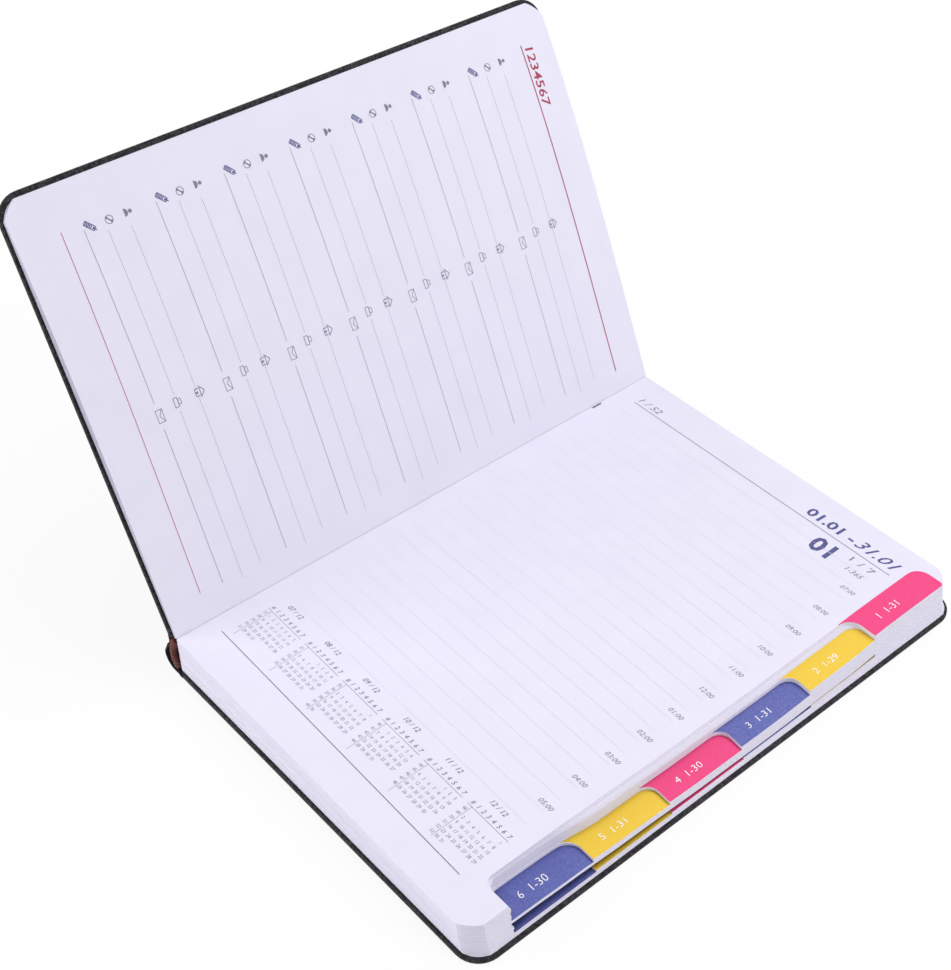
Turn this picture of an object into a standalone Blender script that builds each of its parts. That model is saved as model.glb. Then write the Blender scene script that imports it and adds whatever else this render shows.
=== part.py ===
"""Daily planner with a step-cut month index, lying open on its back cover."""

import math

import bmesh
import bpy

# Leaves: width from the spine to the fore-edge, height from tail to head
PAGE_W = 0.1416
PAGE_H = 0.2050
PAGE_R = 0.0072
SECTION_T = 0.00099
BACK_T = 0.0011
FLYLEAF_T = 0.00015
FRONT_T = 0.0009
FRONT_TRIM = 0.0008
LAYER_GAP = 0.00005

# How the stack settles: thinner at the fore-edge, with the top leaf drawn back
SETTLE = 0.207
LEAN = 0.0027

# Month index: two rows of tabs stepped down the fore-edge
MONTHS = 12
TABS_IN_ROW = 6
TAB_PITCH = 0.0304
TAB_FOOT = 0.0142
TAB_HEAD = 0.0045
NOTCH_DEPTH = 0.0104
NOTCH_HEAD_R = 0.0050
NOTCH_FOOT_R = 0.0030

# Case: leatherette turned over a board, with a pasted lining
SKIN_T = 0.00035
BOARD_T = 0.0012
LINING_T = 0.0003
SQUARE = 0.0010
TURN_IN = 0.0042
HINGE_CORNER_R = 0.0010
EDGE_ROUND = 0.0005
FIT = 0.0001
JOINT = 0.0006
OPEN_ANGLE = math.radians(116.7)
ROOT_GAP = 0.0003

# Spine: a strip that runs out flat, curls up and leans in
SPINE_SKIN_T = 0.0005
SPINE_LINER_T = 0.0004
SPINE_LIFT = 0.0004
SPINE_GAP = 0.0003
SPINE_FOOT = 0.0035
SPINE_R = 0.0044
SPINE_TURN = math.radians(118.0)
SPINE_RUN = 0.0049
LINER_RUN = 0.0020
LINER_MARGIN = 0.0035

# Cloth lining and ribbed bands on the spine of the leaves
MULL_T = 0.0003
MULL_MARGIN = 0.0080
MULL_DROP = 0.0024
BAND_R = 0.00095
BAND_RIB = 0.00012
BAND_RIBS = 12
BAND_BULGE = 0.0025
BAND_BIAS = 0.8
BAND_LIFT = 0.0002
BAND_TOP_DROP = 0.0020
BAND_PROUD = 0.0009

ARC_STEPS = 8

# Levels that follow from the sizes above
COVER_T = SKIN_T + BOARD_T + LINING_T + 2.0 * LAYER_GAP
STACK_Z = COVER_T + LAYER_GAP
BACK_H = FLYLEAF_T + LAYER_GAP
MONTHS_H = BACK_H + BACK_T + LAYER_GAP
SECTION_PITCH = SECTION_T + LAYER_GAP
BLOCK_T = MONTHS_H + MONTHS * SECTION_PITCH - LAYER_GAP
GUTTER_Z = STACK_Z + BLOCK_T
FRONT_W = PAGE_W - FRONT_TRIM
FRONT_STACK = FRONT_T + FLYLEAF_T + 3.0 * LAYER_GAP
COVER_X1 = PAGE_W + SQUARE
COVER_Y0 = -SQUARE
COVER_Y1 = PAGE_H + SQUARE
COVER_R = PAGE_R + SQUARE

# Colours
PAPER = (0.82, 0.80, 0.91)
PAPER_EDGE = (0.74, 0.72, 0.82)
ENDPAPER = (0.80, 0.79, 0.86)
LEATHERETTE = (0.030, 0.028, 0.033)
GREYBOARD = (0.34, 0.31, 0.28)
CLOTH = (0.16, 0.075, 0.065)
GAUZE = (0.62, 0.58, 0.52)
TAB_INKS = ((0.97, 0.07, 0.25), (0.95, 0.62, 0.05), (0.13, 0.16, 0.50))


def clear_scene():
    """Remove every object that the scene starts with."""
    for obj in list(bpy.data.objects):
        bpy.data.objects.remove(obj, do_unlink=True)


def new_collection(name):
    """Make a collection under the scene's own."""
    collection = bpy.data.collections.new(name)
    bpy.context.scene.collection.children.link(collection)
    return collection


def finish(name, colour, roughness, metallic=0.0):
    """Make a Principled material of one colour."""
    material = bpy.data.materials.new(name)
    material.use_nodes = True
    shader = material.node_tree.nodes["Principled BSDF"]
    shader.inputs["Base Color"].default_value = (*colour, 1.0)
    shader.inputs["Roughness"].default_value = roughness
    shader.inputs["Metallic"].default_value = metallic
    return material


def add_axis(name, parent, location, rotation=(0.0, 0.0, 0.0)):
    """Place an empty on a hinge line."""
    axis = bpy.data.objects.new(name, None)
    PARTS.objects.link(axis)
    axis.parent = parent
    axis.location = location
    axis.rotation_euler = rotation
    axis.empty_display_size = 0.01
    return axis


def add_piece(name, mesh, parent, colour, roughness, location=(0.0, 0.0, 0.0), rotation=(0.0, 0.0, 0.0)):
    """Place a mesh as one named piece with its own material."""
    obj = bpy.data.objects.new(name, mesh)
    PARTS.objects.link(obj)
    obj.parent = parent
    obj.location = location
    obj.rotation_euler = rotation
    mesh.materials.append(finish(name + "_finish", colour, roughness))
    return obj


def add_cutter(name, mesh, parent, location=(0.0, 0.0, 0.0), rotation=(0.0, 0.0, 0.0)):
    """Place a mesh that only cuts another piece."""
    cutter = bpy.data.objects.new(name, mesh)
    CUTTERS.objects.link(cutter)
    cutter.parent = parent
    cutter.location = location
    cutter.rotation_euler = rotation
    cutter.display_type = "WIRE"
    cutter.hide_render = True
    return cutter


def cut(obj, cutter):
    """Cut one piece with another."""
    boolean = obj.modifiers.new(cutter.name, "BOOLEAN")
    boolean.operation = "DIFFERENCE"
    boolean.solver = "EXACT"
    boolean.object = cutter


def rounded(corners):
    """Round the corners of a closed outline, given as (x, y, radius)."""
    outline = []
    for index, (x, y, radius) in enumerate(corners):
        if radius <= 0.0:
            outline.append((x, y))
            continue
        before = corners[index - 1]
        after = corners[(index + 1) % len(corners)]
        angle_in = math.atan2(before[1] - y, before[0] - x)
        angle_out = math.atan2(after[1] - y, after[0] - x)
        turn = (angle_out - angle_in + math.pi) % (2.0 * math.pi) - math.pi
        reach = radius / math.sin(abs(turn) / 2.0)
        middle = angle_in + turn / 2.0
        centre_x = x + reach * math.cos(middle)
        centre_y = y + reach * math.sin(middle)
        sweep = math.copysign(math.pi - abs(turn), -turn)
        start = middle + math.pi - sweep / 2.0
        for step in range(ARC_STEPS + 1):
            angle = start + sweep * step / ARC_STEPS
            outline.append((centre_x + radius * math.cos(angle), centre_y + radius * math.sin(angle)))
    return outline


def slab(name, outline, low, high):
    """Extrude a flat outline between two heights."""
    curve = bpy.data.curves.new(name, "CURVE")
    curve.dimensions = "2D"
    curve.fill_mode = "BOTH"
    curve.extrude = (high - low) / 2.0
    spline = curve.splines.new("POLY")
    spline.points.add(len(outline) - 1)
    for point, (x, y) in zip(spline.points, outline):
        point.co = (x, y, 0.0, 1.0)
    spline.use_cyclic_u = True
    mesh = curve_to_mesh(name, curve)
    model = bmesh.new()
    model.from_mesh(mesh)
    bmesh.ops.translate(model, verts=model.verts, vec=(0.0, 0.0, (low + high) / 2.0))
    bmesh.ops.dissolve_limit(model, angle_limit=0.001, verts=model.verts, edges=model.edges)
    model.to_mesh(mesh)
    model.free()
    return mesh


def curve_to_mesh(name, curve):
    """Turn a curve into a closed mesh with its caps welded."""
    holder = bpy.data.objects.new(name, curve)
    PARTS.objects.link(holder)
    bpy.context.view_layer.update()
    depsgraph = bpy.context.evaluated_depsgraph_get()
    mesh = bpy.data.meshes.new_from_object(holder.evaluated_get(depsgraph))
    bpy.data.objects.remove(holder, do_unlink=True)
    bpy.data.curves.remove(curve)
    mesh.name = name
    model = bmesh.new()
    model.from_mesh(mesh)
    bmesh.ops.remove_doubles(model, verts=model.verts, dist=1e-7)
    bmesh.ops.recalc_face_normals(model, faces=model.faces)
    model.to_mesh(mesh)
    model.free()
    return mesh


def smooth(mesh, degrees=35.0):
    """Shade a mesh smooth, with its sharp edges kept."""
    mesh.shade_smooth()
    mesh.set_sharp_from_angle(angle=math.radians(degrees))


def leaf_outline(width, tab_foot=None):
    """Outline of a leaf, notched below its tab where it has one."""
    inner = width - NOTCH_DEPTH
    corners = [(0.0, 0.0, 0.0), (width, 0.0, PAGE_R)]
    if tab_foot is not None:
        corners.append((width, TAB_FOOT, 0.0))
        corners.append((inner, TAB_FOOT, NOTCH_FOOT_R))
        corners.append((inner, tab_foot, NOTCH_HEAD_R))
        corners.append((width, tab_foot, 0.0))
    corners.append((width, PAGE_H, PAGE_R))
    corners.append((0.0, PAGE_H, 0.0))
    return rounded(corners)


def settle(mesh, drop=0.0):
    """Thin the stack towards the fore-edge and draw its upper leaves back."""
    for vertex in mesh.vertices:
        x, y, height = vertex.co
        lean = 1.0 - LEAN / PAGE_W * height / BLOCK_T
        thin = 1.0 - SETTLE * x / PAGE_W
        vertex.co = (x * lean, y, height * thin - drop)


def tab_span(month):
    """Lower and upper end of a month's tab along the fore-edge."""
    place = (month - 1) % TABS_IN_ROW
    low = TAB_FOOT + TAB_PITCH * (TABS_IN_ROW - 1 - place)
    high = low + TAB_PITCH if place else PAGE_H - TAB_HEAD
    return low, high


def ink_tab(mesh, month, top):
    """Split a section's top face along its tab and give the tab its ink."""
    low, high = tab_span(month)
    model = bmesh.new()
    model.from_mesh(mesh)
    cuts = (((PAGE_W - NOTCH_DEPTH, 0.0, 0.0), (1.0, 0.0, 0.0)),
            ((0.0, low, 0.0), (0.0, 1.0, 0.0)),
            ((0.0, high, 0.0), (0.0, 1.0, 0.0)))
    for point, normal in cuts:
        geometry = model.verts[:] + model.edges[:] + model.faces[:]
        bmesh.ops.bisect_plane(model, geom=geometry, dist=1e-7, plane_co=point, plane_no=normal)
    for face in model.faces:
        centre = face.calc_center_median()
        on_tab = centre.x > PAGE_W - NOTCH_DEPTH and low < centre.y < high
        if on_tab and centre.z > top - SECTION_T / 4.0:
            face.material_index = 1
    model.to_mesh(mesh)
    model.free()


def build_month(month, parent):
    """Make one month's section, hinged on the gutter line."""
    name = f"month_{month:02d}"
    low = MONTHS_H + (MONTHS - month) * SECTION_PITCH
    high = low + SECTION_T
    tab_foot = tab_span(month)[0]
    stepped = tab_foot > TAB_FOOT + NOTCH_FOOT_R
    mesh = slab(name, leaf_outline(PAGE_W, tab_foot if stepped else None), low, high)
    ink_tab(mesh, month, high)
    settle(mesh, drop=BLOCK_T)
    section = add_piece(name, mesh, parent, PAPER, 0.75)
    ink = TAB_INKS[(month - 1) % len(TAB_INKS)]
    mesh.materials.append(finish(name + "_tab_ink", ink, 0.45))
    return section


def build_leaves(root):
    """Stack the back leaves and the twelve sections on the back cover."""
    stack = (("back_flyleaf", 0.0, FLYLEAF_T, ENDPAPER), ("back_leaves", BACK_H, BACK_H + BACK_T, PAPER_EDGE))
    for name, low, high, colour in stack:
        mesh = slab(name, leaf_outline(PAGE_W), low, high)
        settle(mesh)
        add_piece(name, mesh, root, colour, 0.8, location=(0.0, 0.0, STACK_Z))
    carrier = add_axis("gutter_axis", root, (0.0, 0.0, GUTTER_Z))
    for month in range(MONTHS, 0, -1):
        carrier = build_month(month, carrier)


def cover_outline(inset=0.0):
    """Outline of a cover, or of what lies within it."""
    small = max(HINGE_CORNER_R - inset, 0.0)
    large = COVER_R - inset
    return rounded([(JOINT + inset, COVER_Y0 + inset, small),
                    (COVER_X1 - inset, COVER_Y0 + inset, large),
                    (COVER_X1 - inset, COVER_Y1 - inset, large),
                    (JOINT + inset, COVER_Y1 - inset, small)])


def build_cover(side, parent, location=(0.0, 0.0, 0.0), rotation=(0.0, 0.0, 0.0)):
    """Make one cover: leatherette turned over a board, and its lining."""
    lining_z = COVER_T - LINING_T
    skin = add_piece(side + "_cover_skin", slab(side + "_cover_skin", cover_outline(), 0.0, COVER_T),
                     parent, LEATHERETTE, 0.55, location, rotation)
    bevel = skin.modifiers.new("worn_edge", "BEVEL")
    bevel.width = EDGE_ROUND
    bevel.segments = 3
    bevel.limit_method = "ANGLE"
    bevel.angle_limit = math.radians(50.0)
    pocket = slab(side + "_pocket", cover_outline(SKIN_T), SKIN_T, lining_z)
    window = slab(side + "_window", cover_outline(TURN_IN), lining_z - LAYER_GAP, COVER_T + SQUARE)
    cut(skin, add_cutter(side + "_pocket", pocket, parent, location, rotation))
    cut(skin, add_cutter(side + "_window", window, parent, location, rotation))
    board_z = SKIN_T + LAYER_GAP
    board = slab(side + "_board", cover_outline(SKIN_T + FIT), board_z, board_z + BOARD_T)
    add_piece(side + "_board", board, parent, GREYBOARD, 0.9, location, rotation)
    lining = slab(side + "_lining", cover_outline(TURN_IN + FIT), lining_z, COVER_T)
    add_piece(side + "_lining", lining, parent, ENDPAPER, 0.8, location, rotation)


def build_front(root):
    """Hang the front cover and the front leaves on the gutter line, opened back."""
    hinge = add_axis("front_cover_axis", root, (0.0, 0.0, GUTTER_Z), (0.0, -OPEN_ANGLE, 0.0))
    build_cover("front", hinge, (0.0, PAGE_H, FRONT_STACK + COVER_T), (math.pi, 0.0, 0.0))
    layers = (("front_leaves", LAYER_GAP, FRONT_T, PAPER),
              ("front_flyleaf", FRONT_T + 2.0 * LAYER_GAP, FLYLEAF_T, ENDPAPER))
    for name, low, thickness, colour in layers:
        outline = leaf_outline(FRONT_W)
        mesh = slab(name, outline, low, low + thickness)
        for vertex in mesh.vertices:
            vertex.co.x = max(vertex.co.x, ROOT_GAP)
        add_piece(name, mesh, hinge, colour, 0.75)


def spine_path(inset, run):
    """Cross-section of the spine at a distance inside its outer face."""
    radius = SPINE_R - inset
    path = [(0.0, inset)]
    for step in range(ARC_STEPS * 2 + 1):
        angle = 1.5 * math.pi - SPINE_TURN * step / (ARC_STEPS * 2)
        path.append((-SPINE_FOOT + radius * math.cos(angle), SPINE_R + radius * math.sin(angle)))
    last = 1.5 * math.pi - SPINE_TURN
    x, z = path[-1]
    path.append((x + run * math.sin(last), z - run * math.cos(last)))
    return path


def build_spine_layer(name, parent, inset, thickness, run, margin, colour, roughness):
    """Sweep the spine's cross-section from tail to head as a thin sheet."""
    model = bmesh.new()
    verts = [model.verts.new((x, COVER_Y0 + margin, z)) for x, z in spine_path(inset, run)]
    edges = [model.edges.new(pair) for pair in zip(verts, verts[1:])]
    swept = bmesh.ops.extrude_edge_only(model, edges=edges)
    moved = [item for item in swept["geom"] if isinstance(item, bmesh.types.BMVert)]
    bmesh.ops.translate(model, verts=moved, vec=(0.0, COVER_Y1 - COVER_Y0 - 2.0 * margin, 0.0))
    bmesh.ops.recalc_face_normals(model, faces=model.faces)
    if sum(face.normal.x * face.calc_area() for face in model.faces) > 0.0:
        bmesh.ops.reverse_faces(model, faces=model.faces)
    mesh = bpy.data.meshes.new(name)
    model.to_mesh(mesh)
    model.free()
    layer = add_piece(name, mesh, parent, colour, roughness)
    solidify = layer.modifiers.new("sheet", "SOLIDIFY")
    solidify.thickness = thickness
    solidify.offset = -1.0
    solidify.use_even_offset = True
    smooth(mesh)
    return layer


def build_spine(root):
    """Make the bulging spine on its back joint."""
    hinge = add_axis("spine_axis", root, (JOINT - SPINE_GAP, 0.0, SPINE_LIFT))
    build_spine_layer("spine_strip", hinge, 0.0, SPINE_SKIN_T, SPINE_RUN, 0.0, LEATHERETTE, 0.5)
    build_spine_layer("spine_liner", hinge, SPINE_SKIN_T + LAYER_GAP, SPINE_LINER_T, LINER_RUN, LINER_MARGIN,
                      GREYBOARD, 0.9)


def build_band(name, root, y):
    """Make a ribbed cloth band that arches along one end of the spine."""
    low = STACK_Z + BAND_LIFT
    high = GUTTER_Z - BAND_TOP_DROP
    base_x = -(2.0 * FIT + MULL_T + BAND_R + BAND_RIB)
    curve = bpy.data.curves.new(name, "CURVE")
    curve.dimensions = "3D"
    curve.bevel_depth = BAND_R
    curve.bevel_resolution = 2
    curve.use_fill_caps = True
    spline = curve.splines.new("POLY")
    count = 2 * BAND_RIBS + 1
    spline.points.add(count - 1)
    for index, point in enumerate(spline.points):
        share = index / (count - 1)
        x = base_x - BAND_BULGE * math.sin(math.pi * share ** BAND_BIAS)
        point.co = (x, y, low + (high - low) * share, 1.0)
        point.radius = 1.0 + BAND_RIB / BAND_R * (index % 2)
    mesh = curve_to_mesh(name, curve)
    add_piece(name, mesh, root, CLOTH, 0.9)


def build_spine_cloth(root):
    """Line the spine of the leaves and finish its two ends."""
    outline = [(-FIT - MULL_T, MULL_MARGIN), (-FIT, MULL_MARGIN),
               (-FIT, PAGE_H - MULL_MARGIN), (-FIT - MULL_T, PAGE_H - MULL_MARGIN)]
    mesh = slab("spine_mull", outline, STACK_Z, GUTTER_Z - MULL_DROP)
    add_piece("spine_mull", mesh, root, GAUZE, 0.95)
    reach = BAND_R + BAND_RIB - BAND_PROUD
    build_band("tail_band", root, reach)
    build_band("head_band", root, PAGE_H - reach)


def main():
    """Build the planner with its back cover centred on the origin."""
    centre_x = (JOINT + COVER_X1) / 2.0
    centre_y = (COVER_Y0 + COVER_Y1) / 2.0
    root = add_axis("back_cover_base", None, (-centre_x, -centre_y, 0.0))
    build_cover("back", root)
    build_leaves(root)
    build_spine_cloth(root)
    build_spine(root)
    build_front(root)


clear_scene()
PARTS = new_collection("daily_planner")
CUTTERS = new_collection("daily_planner_cutters")
main()
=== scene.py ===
"""Looks of an open daily planner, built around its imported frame."""

import logging
import math
import random
from abc import ABC, abstractmethod
from dataclasses import dataclass, field
from enum import Enum
from typing import Any, Callable, Optional

import bmesh
import bpy
from bpy.types import Material, Node, NodeSocket, NodeTree, Object
from mathutils import Matrix, Vector


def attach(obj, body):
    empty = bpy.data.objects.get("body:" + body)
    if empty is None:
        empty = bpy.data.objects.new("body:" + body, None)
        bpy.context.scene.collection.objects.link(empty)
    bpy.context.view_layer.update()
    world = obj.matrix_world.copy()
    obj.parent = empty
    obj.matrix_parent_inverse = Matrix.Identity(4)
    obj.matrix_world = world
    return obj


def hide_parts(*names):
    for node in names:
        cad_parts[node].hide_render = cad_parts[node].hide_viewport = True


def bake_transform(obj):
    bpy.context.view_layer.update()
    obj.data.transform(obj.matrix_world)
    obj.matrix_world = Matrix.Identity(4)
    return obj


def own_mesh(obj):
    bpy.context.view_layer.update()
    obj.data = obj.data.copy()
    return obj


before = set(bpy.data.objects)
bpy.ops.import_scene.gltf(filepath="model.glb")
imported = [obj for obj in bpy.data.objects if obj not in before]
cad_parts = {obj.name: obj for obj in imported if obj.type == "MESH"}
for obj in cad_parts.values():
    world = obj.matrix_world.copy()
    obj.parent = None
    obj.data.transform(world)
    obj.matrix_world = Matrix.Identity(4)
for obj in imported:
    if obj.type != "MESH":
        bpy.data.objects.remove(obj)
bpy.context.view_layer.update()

LOG = logging.getLogger("daily_planner")
MM = 0.001
# Tail end of the gutter line, on which the leaves and the front cover turn
GUTTER = Vector((-0.0716, -0.1025, 0.01578))
OPEN_ANGLE = math.radians(116.7)
PAGE_W = 0.1416
PAGE_H = 0.2050
# The stack of leaves: its foot, its height at the gutter, the share of that height which it has lost at the
# fore-edge, and how far the top leaf's edge falls short of the lowest leaf's
STACK_Z = 0.0020
BLOCK_T = 0.01378
SETTLE = 0.207
LEAN = 0.0027
# Outer corners of a page, as the die cuts them
CORNER_CUT = 0.0053
CORNER_BULGE = 0.32
# Along the fore-edge in mm: how far the top leaf sinks there in mm, and how evenly the leaves under it are
# spread, from pressed down (0) to even (1)
FORE_EDGE = ((0.0, 0.0, 0.62), (20.0, 0.0, 0.62), (36.0, 0.1, 0.52), (60.0, 0.8, 0.38),
             (90.0, 2.0, 0.30), (120.0, 2.0, 0.24), (150.0, 1.2, 0.26), (175.0, 0.1, 0.40),
             (182.0, 0.0, 0.45), (205.0, 0.0, 0.55))
# Across the page: where the top leaf begins to sink, and between which places the others are pressed down
SINK_X = 0.085
PACK_X = (0.050, 0.131)
# A figure's height as a share of its font size
FIGURE_SHARE = 0.69
# Radians that Blender's wave texture turns in one unit at a scale of one
WAVE_TURN = 20.0
# Distance within which a point counts as being at a corner
TOUCH = 1e-6
# Sharpest bend of a swept sheet that is still shaded smooth, in degrees
SHEET_CREASE = 40.0
WHITE = "#FFFFFF"


class Pick(Enum):
    """What an edit-mode selection is made of."""

    VERT = "VERT"
    FACE = "FACE"


class Align(Enum):
    """Which part of a line of figures stands at its given place."""

    LEFT = "LEFT"
    CENTER = "CENTER"


# Finishes


def linear(code: str) -> tuple[float, float, float, float]:
    """Turn an sRGB hex colour into a linear one.

    Args:
        code: Colour such as "#E9E6F7".

    Returns:
        Linear red, green, blue and an alpha of one.
    """
    values = []
    for place in (1, 3, 5):
        share = int(code[place:place + 2], 16) / 255.0
        values.append(share / 12.92 if share <= 0.04045 else ((share + 0.055) / 1.055) ** 2.4)
    return (values[0], values[1], values[2], 1.0)


def feed(tree: NodeTree, node: Node, links: dict[Any, Any]) -> None:
    """Link sockets to a node's inputs, or set the inputs' values.

    Args:
        tree: Node tree that holds the node.
        node: Node whose inputs are fed.
        links: Input name or number to the socket or the value that it takes.
    """
    for key, value in links.items():
        if isinstance(value, NodeSocket):
            tree.links.new(value, node.inputs[key])
        else:
            node.inputs[key].default_value = value


def add_node(tree: NodeTree, kind: str, links: Optional[dict[Any, Any]] = None, **settings: Any) -> Node:
    """Add a node, set it up and link it.

    Args:
        tree: Node tree that gets the node.
        kind: Node type.
        links: Input name or number to the socket or the value that it takes.
        **settings: Properties of the node.

    Returns:
        The new node.
    """
    node = tree.nodes.new(kind)
    for key, value in settings.items():
        setattr(node, key, value)
    feed(tree, node, links or {})
    return node


def span(ends: tuple[float, float]) -> dict[str, float]:
    """Give the inputs that set between which values a range is mapped."""
    return {"From Min": ends[0], "From Max": ends[1]}


def per_mm(size: float) -> float:
    """Give the texture scale whose features are a size in millimetres."""
    return 1.0 / (size * MM)


@dataclass(frozen=True)
class Finish(ABC):
    """A surface finish that makes one node material."""

    name: str
    colour: str
    roughness: float = 0.95
    specular: float = 0.5
    # Strength of the relief and its depth
    relief: float = 0.5
    relief_mm: float = 0.1

    def material(self) -> Material:
        """Make the material, or give the one already made.

        Returns:
            The material of this finish.
        """
        found = bpy.data.materials.get(self.name)
        if found:
            return found
        made = bpy.data.materials.new(self.name)
        made.use_nodes = True
        tree = made.node_tree
        place = add_node(tree, "ShaderNodeTexCoord").outputs["Object"]
        self.dress(tree, tree.nodes["Principled BSDF"], place)
        return made

    def coat(self, tree: NodeTree, shader: Node, share: NodeSocket, ends: tuple[str, str],
             height: NodeSocket) -> NodeSocket:
        """Tint the shader between two colours, give it its relief and set how it reflects.

        Args:
            tree: Node tree of the material.
            shader: Shader of the material.
            share: Where the tint lies between the two colours.
            ends: The two colours.
            height: Height of the relief.

        Returns:
            The tint, for a finish that goes on from it.
        """
        tint = add_node(tree, "ShaderNodeMix", {"Factor": share, "A": linear(ends[0]), "B": linear(ends[1])},
                        data_type="RGBA")
        bump = add_node(tree, "ShaderNodeBump", {"Height": height, "Strength": self.relief,
                                                 "Distance": self.relief_mm * MM})
        feed(tree, shader, {"Base Color": tint.outputs["Result"], "Normal": bump.outputs["Normal"],
                            "Roughness": self.roughness, "Specular IOR Level": self.specular})
        return tint.outputs["Result"]

    @abstractmethod
    def dress(self, tree: NodeTree, shader: Node, place: NodeSocket) -> None:
        """Set the shader and add the nodes that drive it.

        Args:
            tree: Node tree of the material.
            shader: Shader of the material.
            place: Place on the piece.
        """


@dataclass(frozen=True)
class WovePaper(Finish):
    """Uncoated writing paper: matt and faintly blue, with soft clouds of fibre."""

    name: str = "wove_paper"
    colour: str = "#E9E6F6"
    roughness: float = 0.85
    specular: float = 0.25
    relief: float = 0.10
    relief_mm: float = 0.05
    cloud: str = "#E2DFF0"
    cloud_mm: float = 14.0
    # Fibres of 0.03 mm are drawn at 0.5 mm, the finest that shows
    fibre_mm: float = 0.5

    def dress(self, tree: NodeTree, shader: Node, place: NodeSocket) -> None:
        """Cloud the sheet and give it a faint tooth.

        Args:
            tree: Node tree of the material.
            shader: Shader of the material.
            place: Place on the piece.
        """
        cloud = add_node(tree, "ShaderNodeTexNoise", {"Vector": place, "Scale": per_mm(self.cloud_mm),
                                                      "Detail": 3.0})
        fibre = add_node(tree, "ShaderNodeTexNoise", {"Vector": place, "Scale": per_mm(self.fibre_mm),
                                                      "Detail": 4.0})
        self.coat(tree, shader, cloud.outputs["Fac"], (self.colour, self.cloud), fibre.outputs["Fac"])


@dataclass(frozen=True)
class TrimmedEdge(Finish):
    """Guillotined edges of many leaves: fine lines that follow the leaves, some fuller than others."""

    name: str = "trimmed_paper_edge"
    colour: str = "#E9E6F4"
    roughness: float = 0.9
    specular: float = 0.2
    relief: float = 0.25
    relief_mm: float = 0.06
    shade: str = "#D9D5E6"
    shade_span: tuple[float, float] = (0.35, 0.72)
    # Leaves of 0.06 mm are drawn as lines 0.16 mm apart, the finest that shows
    leaf_mm: float = 0.16
    # How far the lines wander, and over what length
    wander_mm: float = 0.5
    drift_mm: float = 18.0

    def dress(self, tree: NodeTree, shader: Node, place: NodeSocket) -> None:
        """Draw the leaf lines from each point's height in the stack.

        Args:
            tree: Node tree of the material.
            shader: Shader of the material.
            place: Place on the piece.
        """
        height = add_node(tree, "ShaderNodeAttribute", attribute_name="leaf").outputs["Fac"]
        drift = add_node(tree, "ShaderNodeTexNoise", {"Vector": place, "Scale": per_mm(self.drift_mm),
                                                      "Detail": 2.0})
        row = add_node(tree, "ShaderNodeMath", {0: drift.outputs["Fac"], 1: self.wander_mm, 2: height},
                       operation="MULTIPLY_ADD")
        lines = add_node(tree, "ShaderNodeTexNoise", {"W": row.outputs["Value"], "Scale": 1.0 / self.leaf_mm,
                                                      "Detail": 2.0}, noise_dimensions="1D")
        share = add_node(tree, "ShaderNodeMapRange", {"Value": lines.outputs["Fac"], **span(self.shade_span)})
        self.coat(tree, shader, share.outputs["Result"], (self.colour, self.shade), lines.outputs["Fac"])


@dataclass(frozen=True)
class OffsetInk(Finish):
    """Offset ink on paper: an even film that the paper's tooth leaves slightly mottled."""

    name: str = "offset_ink"
    colour: str = "#6E6C80"
    roughness: float = 0.55
    specular: float = 0.3
    relief: float = 0.08
    relief_mm: float = 0.04
    thin: str = "#7C7A8E"
    thin_span: tuple[float, float] = (0.35, 0.75)
    mottle_mm: float = 0.7
    # Reach of the painted shade that darkens the ink's colour where other leaves overhang it, or zero for
    # none, the openness over which it fades, and the light that is left in the deepest painted shade
    shade_mm: float = 0.0
    shade_span: tuple[float, float] = (0.30, 0.78)
    shade_light: float = 0.25

    def dress(self, tree: NodeTree, shader: Node, place: NodeSocket) -> None:
        """Mottle the film of ink, and paint shade into its colour where leaves overhang it.

        Args:
            tree: Node tree of the material.
            shader: Shader of the material.
            place: Place on the piece.
        """
        mottle = add_node(tree, "ShaderNodeTexNoise", {"Vector": place, "Scale": per_mm(self.mottle_mm),
                                                       "Detail": 3.0}).outputs["Fac"]
        share = add_node(tree, "ShaderNodeMapRange", {"Value": mottle, **span(self.thin_span)})
        tint = self.coat(tree, shader, share.outputs["Result"], (self.colour, self.thin), mottle)
        if self.shade_mm:
            # Painted shade: ambient occlusion darkens the ink's colour where other leaves overhang it
            sky = add_node(tree, "ShaderNodeAmbientOcclusion", {"Distance": self.shade_mm * MM}, samples=8)
            depth = add_node(tree, "ShaderNodeMapRange", {"Value": sky.outputs["AO"], **span(self.shade_span),
                                                          "To Min": self.shade_light})
            painted_shade_tint = add_node(tree, "ShaderNodeMix", {"Factor": 1.0, "A": tint, "B": depth.outputs["Result"]},
                              data_type="RGBA", blend_type="MULTIPLY")
            feed(tree, shader, {"Base Color": painted_shade_tint.outputs["Result"]})


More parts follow.
